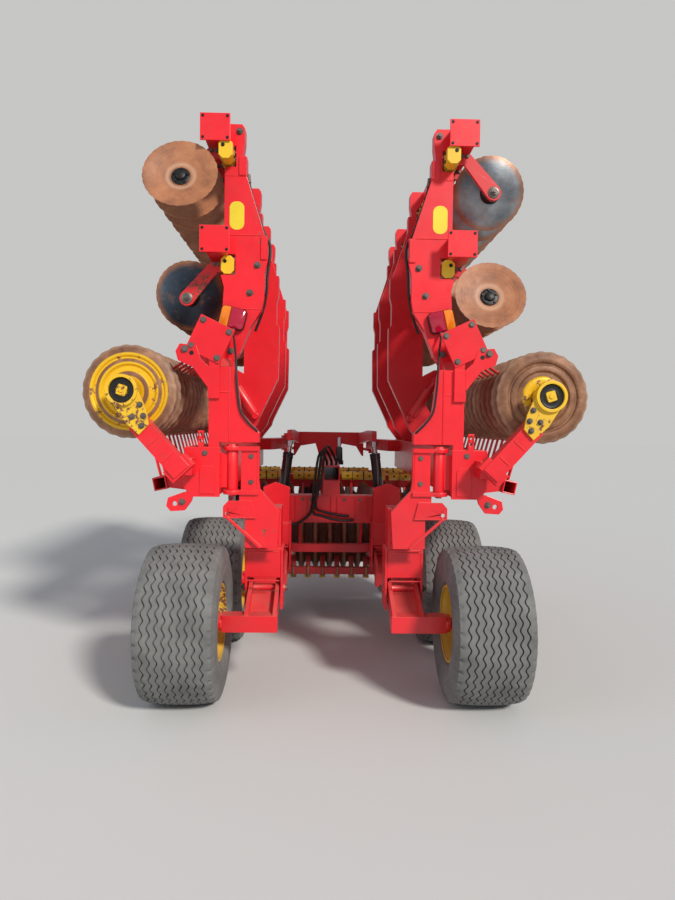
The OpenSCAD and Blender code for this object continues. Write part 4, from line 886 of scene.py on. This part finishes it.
def wing_trim(side, sign):
    """Bolts, dark fittings and weld seams of a wing."""
    body = f"wing_{side}"
    bolts, dark, red = Build(), Build(), Build()
    wing_clamps(sign, dark, bolts)
    # rear rib: raised joint boxes, bolts and seams
    for x, z, w, h in ((0.5945, 3.230, 0.044, 0.116), (0.459, 2.735, 0.040, 0.146)):
        red.prism(round_box(w, h, 0.006), 0.0, 0.010, along_y(sign * x, RIB_FACE, z, sign), 0.003)
    for x, z in ((0.615, 3.44), (0.500, 2.63), (0.545, 2.46), (0.660, 2.10)):
        bolts.bolt((sign * x, RIB_FACE, z), BACK, 0.030, 0.014, nut=0.009)
    for z, x0, x1 in ((3.172, 0.575, 0.700), (2.812, 0.460, 0.700), (2.360, 0.475, 0.700)):
        red.tube(line(sign, [(x, RIB_FACE, z) for x in (x0, (x0 + x1) / 2, x1)]), 0.0035, 6)
    # post: upright weld and the seam across it
    post = BLOCK_Y + 0.005
    red.tube([(sign * 0.640, post, z) for z in (1.545, 1.60, 1.70, 1.80, 1.90, 1.985)], 0.0055, 8)
    red.tube([(sign * x, post, 1.838) for x in (0.645, 0.70, 0.762)], 0.004, 6)
    # bolts in the corners of the turned plate
    c, s = math.cos(PLATE_TURN), math.sin(PLATE_TURN)
    for dx in (-0.084, 0.084):
        for dz in (-0.084, 0.084):
            place = (sign * (0.757 + dx * c - dz * s), BLOCK_Y - 0.013, 2.150 + dx * s + dz * c)
            bolts.bolt(place, BACK, 0.027, 0.012)
    # comb bar's lug: bolt and dark bore
    bolts.bolt((sign * 0.905, PLATE_Y, 2.088), BACK, 0.030, 0.018)
    dark.lathe([(0.0, 0.0), (0.013, 0.0), (0.013, 0.002), (0.0, 0.002)], 16, along_y(sign * 0.865, PLATE_Y, 2.066))
    # main beam's end: bolts and a small plate
    bolts.bolt((sign * 0.783, PLATE_Y, 1.474), BACK, 0.024, 0.010)
    bolts.bolt((sign * 0.790, PLATE_Y, 1.335), BACK, 0.012, 0.005)
    red.prism([(-0.045, -0.085), (0.045, -0.085), (0.045, 0.065), (0.030, 0.085), (-0.030, 0.085), (-0.045, 0.065)],
              0.0, 0.006, along_y(sign * 0.768, PLATE_Y, 1.315, sign), 0.002)
    bolts.bolt((sign * 0.915, PLATE_Y, 1.182), BACK, 0.028, 0.014, nut=0.008)
    # seams across the roller's arm
    low, high = ROLLER_ARM
    d = (high - low).normalized()
    half = Vector((-d.y, d.x)) * 0.040
    for t in (0.30, 0.62):
        a = low.lerp(high, t)
        red.tube(line(sign, [((a - half).x, ROLLER_END - 0.115, (a - half).y), (a.x, ROLLER_END - 0.1155, a.y),
                             ((a + half).x, ROLLER_END - 0.115, (a + half).y)]), 0.0045, 6)
    # bearing holders: bolts, the seal, and the nut that turns with the roller
    for y, face in ((HOLDER_Y, -1), (HOLDER_FRONT_Y, 1)):
        for dx, dz in ((-0.100, -0.080), (-0.120, -0.142), (-0.058, -0.148), (-0.110, -0.198)):
            bolts.bolt((sign * (ROLLER_X + dx), y, ROLLER_Z + dz), (0, face, 0), 0.024, 0.013, nut=0.007)
    seal = Build()
    seal.lathe([(0.034, 0.0), (0.0715, 0.0), (0.0715, 0.006), (0.064, 0.010), (0.050, 0.006), (0.036, 0.009),
                (0.034, 0.004)], 40, along_y(sign * ROLLER_X, HOLDER_Y, ROLLER_Z))
    seal.done(f"roller_seal_{side}", "dark_steel", body, slot="dark_steel")
    nut = Build()
    end = along_y(sign * ROLLER_X, ROLLER_END - 0.1312, ROLLER_Z)
    turn = Matrix.Rotation(math.radians(18 * sign), 4, "Z")
    nut.prism(round_box(0.056, 0.060, 0.008), 0.0, 0.013, end @ turn, 0.003)
    nut.prism(ngon(0.015, 16), 0.012, 0.020, end, 0.003)
    nut.done(f"roller_nut_{side}", "yellow_paint", f"wing_roller_{side}", edge=30)
    bolts.bolted(f"wing_bolts_{side}", body)
    dark.done(f"wing_joints_{side}", "dark_steel", body, edge=30)
    red.done(f"wing_seams_{side}", "red_paint", body, edge=35)


def clipped(points, low, high):
    """Points with X kept between two limits, and no point twice."""
    out = []
    for x, y in points:
        p = Vector((min(max(x, low), high), y))
        if not out or (p - out[-1]).length > 1e-5:
            out.append(p)
    return out[:-1] if (out[0] - out[-1]).length < 1e-5 else out


def tail_lamp(side, sign):
    """Housing with red glass inboard and amber glass outboard."""
    body = f"wing_{side}"
    m = along_y(sign * 0.645, RIB_FACE - SEAT, 2.300, sign) @ Matrix.Rotation(math.radians(13), 4, "Z")
    housing = Build()
    housing.prism(round_box(LAMP_W, LAMP_H, 0.025), 0.0, 0.034, m, 0.003)
    obj = housing.done(f"lamp_housing_{side}", "black_paint", body, edge=35)
    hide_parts(f"tail_lamp_{side}")
    outline = round_box(LAMP_W - 0.008, LAMP_H - 0.008, 0.022, 6)
    for part, material, low, high in (("inner", "lamp_red", -LAMP_W / 2, 0.018), ("outer", "lamp", 0.020, LAMP_W / 2)):
        glass = Build()
        glass.prism(clipped(outline, low, high), 0.033, 0.0475, m, 0.005)
        glass.done(f"lamp_glass_{part}_{side}", material, body, edge=50, slot="lamp")


def wing_hoses(side, sign):
    """Plain yellow patch on the rear rib, the hose down the rib's inner edge,
    the lamp's cable, and the fittings at their upper ends."""
    body = f"wing_{side}"
    patch = Build()
    patch.prism(round_box(0.090, 0.172, 0.040, 7), 0.0, 0.0012, along_y(sign * 0.628, RIB_FACE, 2.930, sign), 0.0004)
    patch.done(f"rib_patch_{side}", "patch", body, slot="yellow_paint")
    hose = Build()
    route = ((0.566, -3.175, 3.19), (0.556, -3.185, 3.13), (0.535, -3.19, 3.05), (0.498, -3.19, 2.94),
             (0.464, -3.19, 2.845), (0.430, -3.19, 2.78), (0.426, -3.19, 2.70), (0.440, -3.19, 2.58),
             (0.446, -3.185, 2.47), (0.470, -3.16, 2.36), (0.520, -3.12, 2.24))
    hose.tube(spline(line(sign, route), 4), 0.0085, 8)
    cable = ((0.640, -3.262, 2.226), (0.636, -3.285, 2.190), (0.622, -3.33, 2.12), (0.606, -3.385, 2.02),
             (0.601, -3.410, 1.95), (0.596, -3.412, 1.87), (0.578, -3.412, 1.74), (0.536, -3.412, 1.67),
             (0.480, -3.40, 1.61), (0.470, -3.36, 1.58))
    hose.tube(spline(line(sign, cable), 4), 0.0065, 8)
    hose.done(f"wing_hoses_{side}", "hose", body)
    ends = Build()
    ends.tube(line(sign, [(0.5665, -3.173, 3.20), (0.5595, -3.183, 3.145)]), 0.0125, 12)
    ends.bolt((sign * 0.640, -3.2655, 2.226), (0, -0.5, -0.85), 0.018, 0.014)
    ends.bolted(f"hose_ends_{side}", body)


for side, sign in SIDES:
    wing_trim(side, sign)
    tail_lamp(side, sign)
    wing_hoses(side, sign)


# ---------------- wheels' nuts and caps
NUTS = 8
NUT_R = 0.132


def wheel_fittings(side, sign, axle):
    """Nuts and cap of a wheel's hub, and the lips of its rim."""
    body = f"wheel_{axle}_{side}"
    middle = Vector((sign * TRACK_HALF, AXLES[axle], TYRE_R))
    nuts, cap, lips = Build(), Build(), Build()
    for k in range(NUTS):
        a = 2 * math.pi * k / NUTS + 0.2
        place = (sign * (TRACK_HALF + 0.0900), AXLES[axle] + NUT_R * math.cos(a), TYRE_R + NUT_R * math.sin(a))
        nuts.bolt(place, (sign, 0, 0), 0.026, 0.016, nut=0.010)
    cap.lathe([(0.0, 0.158), (0.030, 0.157), (0.046, 0.152), (0.052, 0.146), (0.053, 0.121), (0.064, 0.1205),
               (0.064, 0.117), (0.0, 0.117)], 40,
              Matrix.Translation(middle) @ Matrix.Rotation(sign * math.pi / 2, 4, "Y"))
    nuts.bolted(f"wheel_nuts_{axle}_{side}", body)
    cap.done(f"wheel_cap_{axle}_{side}", "yellow_paint", body, edge=35)
    profile = [(-0.001, -0.002), (-0.001, 0.003), (0.004, 0.006), (0.011, 0.005), (0.0145, 0.001),
               (0.0145, -0.004), (0.010, -0.002), (-0.001, -0.002)]
    for end in (-sign, sign):
        m = Matrix.Translation(middle + Vector((end * (TYRE_W / 2 - 0.042 + 0.0101), 0, 0)))
        lips.lathe([(RIM_R + r, z) for r, z in profile], 64, m @ Matrix.Rotation(end * math.pi / 2, 4, "Y"))
    lips.done(f"rim_lips_{axle}_{side}", "yellow_paint", body, edge=40)


for side, sign in SIDES:
    for axle in AXLES:
        wheel_fittings(side, sign, axle)

# ---------------- centre section
BAR_Y, BAR_Z, BAR_W = -1.555, 0.376, 0.060
HOOP_STEPS = 32
NEAR_BEAM_Y = -1.865
LIFT_Y = -1.785

# the scrapers between the rings, and the hoops that hold them on their bar
tips, hoops = Build(), Build()
for i in range(RINGS["centre"] - 1):
    x = -CENTRE_ROLLER_L / 2 + RING_FIRST + (i + 0.5) * RING_GAP
    place = Matrix.Translation((x, BAR_Y, BAR_Z - BAR_W / 2 - 0.031))
    tips.prism(round_box(0.052, 0.046, 0.004, 2), 0.0, 0.022, place, 0.003)
    hoop = []
    for k in range(HOOP_STEPS + 1):
        a = -math.pi / 2 + 2 * math.pi * k / HOOP_STEPS
        c, s = math.cos(a), math.sin(a)
        # a circle with four flat sides
        r = (BAR_W / 2 + 0.0165) / max(abs(c), abs(s), 0.84)
        hoop.append((x + 0.001, BAR_Y + r * c, BAR_Z + r * s))
    hoops.tube(hoop, 0.0065, 8)
tips.done("scraper_tips", "yellow_paint", "frame", edge=30)
hoops.done("scraper_hoops", "hoop", "frame", edge=40, slot="grey_steel")

bolts, dark, red = Build(), Build(), Build()
for y, first, _, count in CENTRE_ROWS:
    cy = y - BEAM_HALF - CLAMP_H / 2
    cz = CENTRE_Z + CLAMP_OFF
    for i in range(0, count, 2):
        # the last arm of an odd row has a clamp of its own
        pair = i + 1 < count
        mid = -CENTRE_HALF + first + i * DISC_GAP + (DISC_GAP / 2 if pair else 0.0)
        m = Matrix(((0, 0, 1, mid), (0, 1, 0, cy), (1, 0, 0, cz), (0, 0, 0, 1)))
        for off in CLAMP_RINGS if pair else (0.0,):
            wide = 0.006 if pair and not off else 0.003
            clamp_ring(dark, off - wide, off + wide, m)
        for off in CLAMP_BOLTS if pair else (-0.06, 0.06):
            for dy in (-0.026, 0.026):
                dark.bolt((mid + off, cy + dy, cz + CLAMP_W / 2), (0, 0, 1), 0.014, 0.007)
            dark.bolt((mid + off, cy - CLAMP_H / 2, cz), BACK, 0.014, 0.007)
    for end in (-1, 1):
        for dy in (-CAP_SCREWS[1], CAP_SCREWS[1]):
            for dz in (-CAP_SCREWS[0], CAP_SCREWS[0]):
                place = (end * (CENTRE_HALF + CAP_T + SEAT), y + dy, CENTRE_Z + dz)
                dark.bolt(place, (end, 0, 0), 0.012, 0.005)
# near beam: seams at the edges of its strips, and bolts
for x in (-0.300, -0.200, 0.200, 0.300):
    red.tube([(x, NEAR_BEAM_Y - 0.0005, z) for z in (0.845, 0.95, 1.06)], 0.0035, 6)
for x in (-0.235, -0.170, 0.110, 0.235):
    bolts.bolt((x, NEAR_BEAM_Y, 1.035), BACK, 0.018, 0.009)
# lift cylinders: gland, foot ring, pins and pipe
for side, sign in SIDES:
    low, high = Vector((sign * 0.400, LIFT_Y, 1.115)), Vector((sign * 0.353, LIFT_Y, 1.490))
    m = facing(low, (high - low).normalized())
    gland = Build()
    gland.lathe([(0.0250, 0.300), (0.0445, 0.300), (0.0450, 0.285), (0.0425, 0.282), (0.0425, 0.272), (0.0450, 0.269),
                 (0.0450, 0.262), (0.0415, 0.258)], 32, m)
    gland.lathe([(0.0415, 0.012), (0.0445, 0.010), (0.0445, -0.004), (0.030, -0.008), (0.0, -0.008)], 32, m)
    gland.done(f"lift_gland_{side}", "black_paint", "frame", edge=35)
    for x, z, out, across in ((0.3325, 1.500, -1, 0.026), (0.3735, 1.500, 1, 0.026),
                              (0.3855, 1.105, -1, 0.030), (0.4145, 1.105, 1, 0.030)):
        bolts.bolt((sign * x, LIFT_Y, z), (sign * out, 0, 0), across, 0.010)
    pipe = Build()
    pipe.tube(spline(line(sign, ((0.372, -1.828, 1.405), (0.373, -1.840, 1.38), (0.381, -1.836, 1.28),
                                 (0.389, -1.836, 1.18), (0.392, -1.830, 1.145))), 4), 0.006, 8)
    pipe.done(f"lift_pipe_{side}", "grey_steel", "frame", edge=40)
bolts.bolted("centre_bolts", "frame")
dark.done("centre_joints", "dark_steel", "frame", edge=30)
red.done("centre_seams", "red_paint", "frame", edge=35)

# ---------------- legs
# from the axle to the wheel arm's pivot and to the leg's rear face
PIVOT_Y, PIVOT_Z = 0.310, 0.600
LEG_Y = 0.110
HINGE_X, HINGE_Y, _ = PIVOT["tip_swivel_right"]
for side, sign in SIDES:
    for axle, body in (("front", "frame"), ("rear", f"tip_leg_{side}")):
        y = AXLES[axle]
        nuts, welds = Build(), Build()
        for x, out in ((0.310, -1), (0.574, 1)):
            nuts.bolt((sign * x, y + PIVOT_Y, PIVOT_Z), (sign * out, 0, 0), 0.036, 0.014, nut=0.010)
        nuts.bolted(f"pivot_nuts_{side}_{axle}", body)
        for z in (0.868, 0.690):
            welds.tube([(sign * x, y + LEG_Y + 0.004, z) for x in (0.338, 0.442, 0.546)], 0.0045, 6)
        welds.done(f"leg_welds_{side}_{axle}", "red_paint", body, edge=40)
    # welds and bolts of the tip leg's head
    body = f"tip_leg_{side}"
    welds, head = Build(), Build()
    y = HINGE_Y - 0.0345
    welds.tube(line(sign, [(HINGE_X - 0.150, y, 1.085), (HINGE_X, y, 1.0845), (HINGE_X + 0.048, y, 1.085)]), 0.003, 6)
    welds.tube([(sign * 0.475, HINGE_Y - 0.0195, z) for z in (1.27, 1.40, 1.50)], 0.004, 6)
    welds.done(f"head_welds_{side}", "red_paint", body, edge=40)
    for z in (1.455, 1.300):
        head.bolt((sign * (HINGE_X - 0.115), HINGE_Y - 0.020, z), BACK, 0.022, 0.010)
    head.bolted(f"head_bolts_{side}", body)
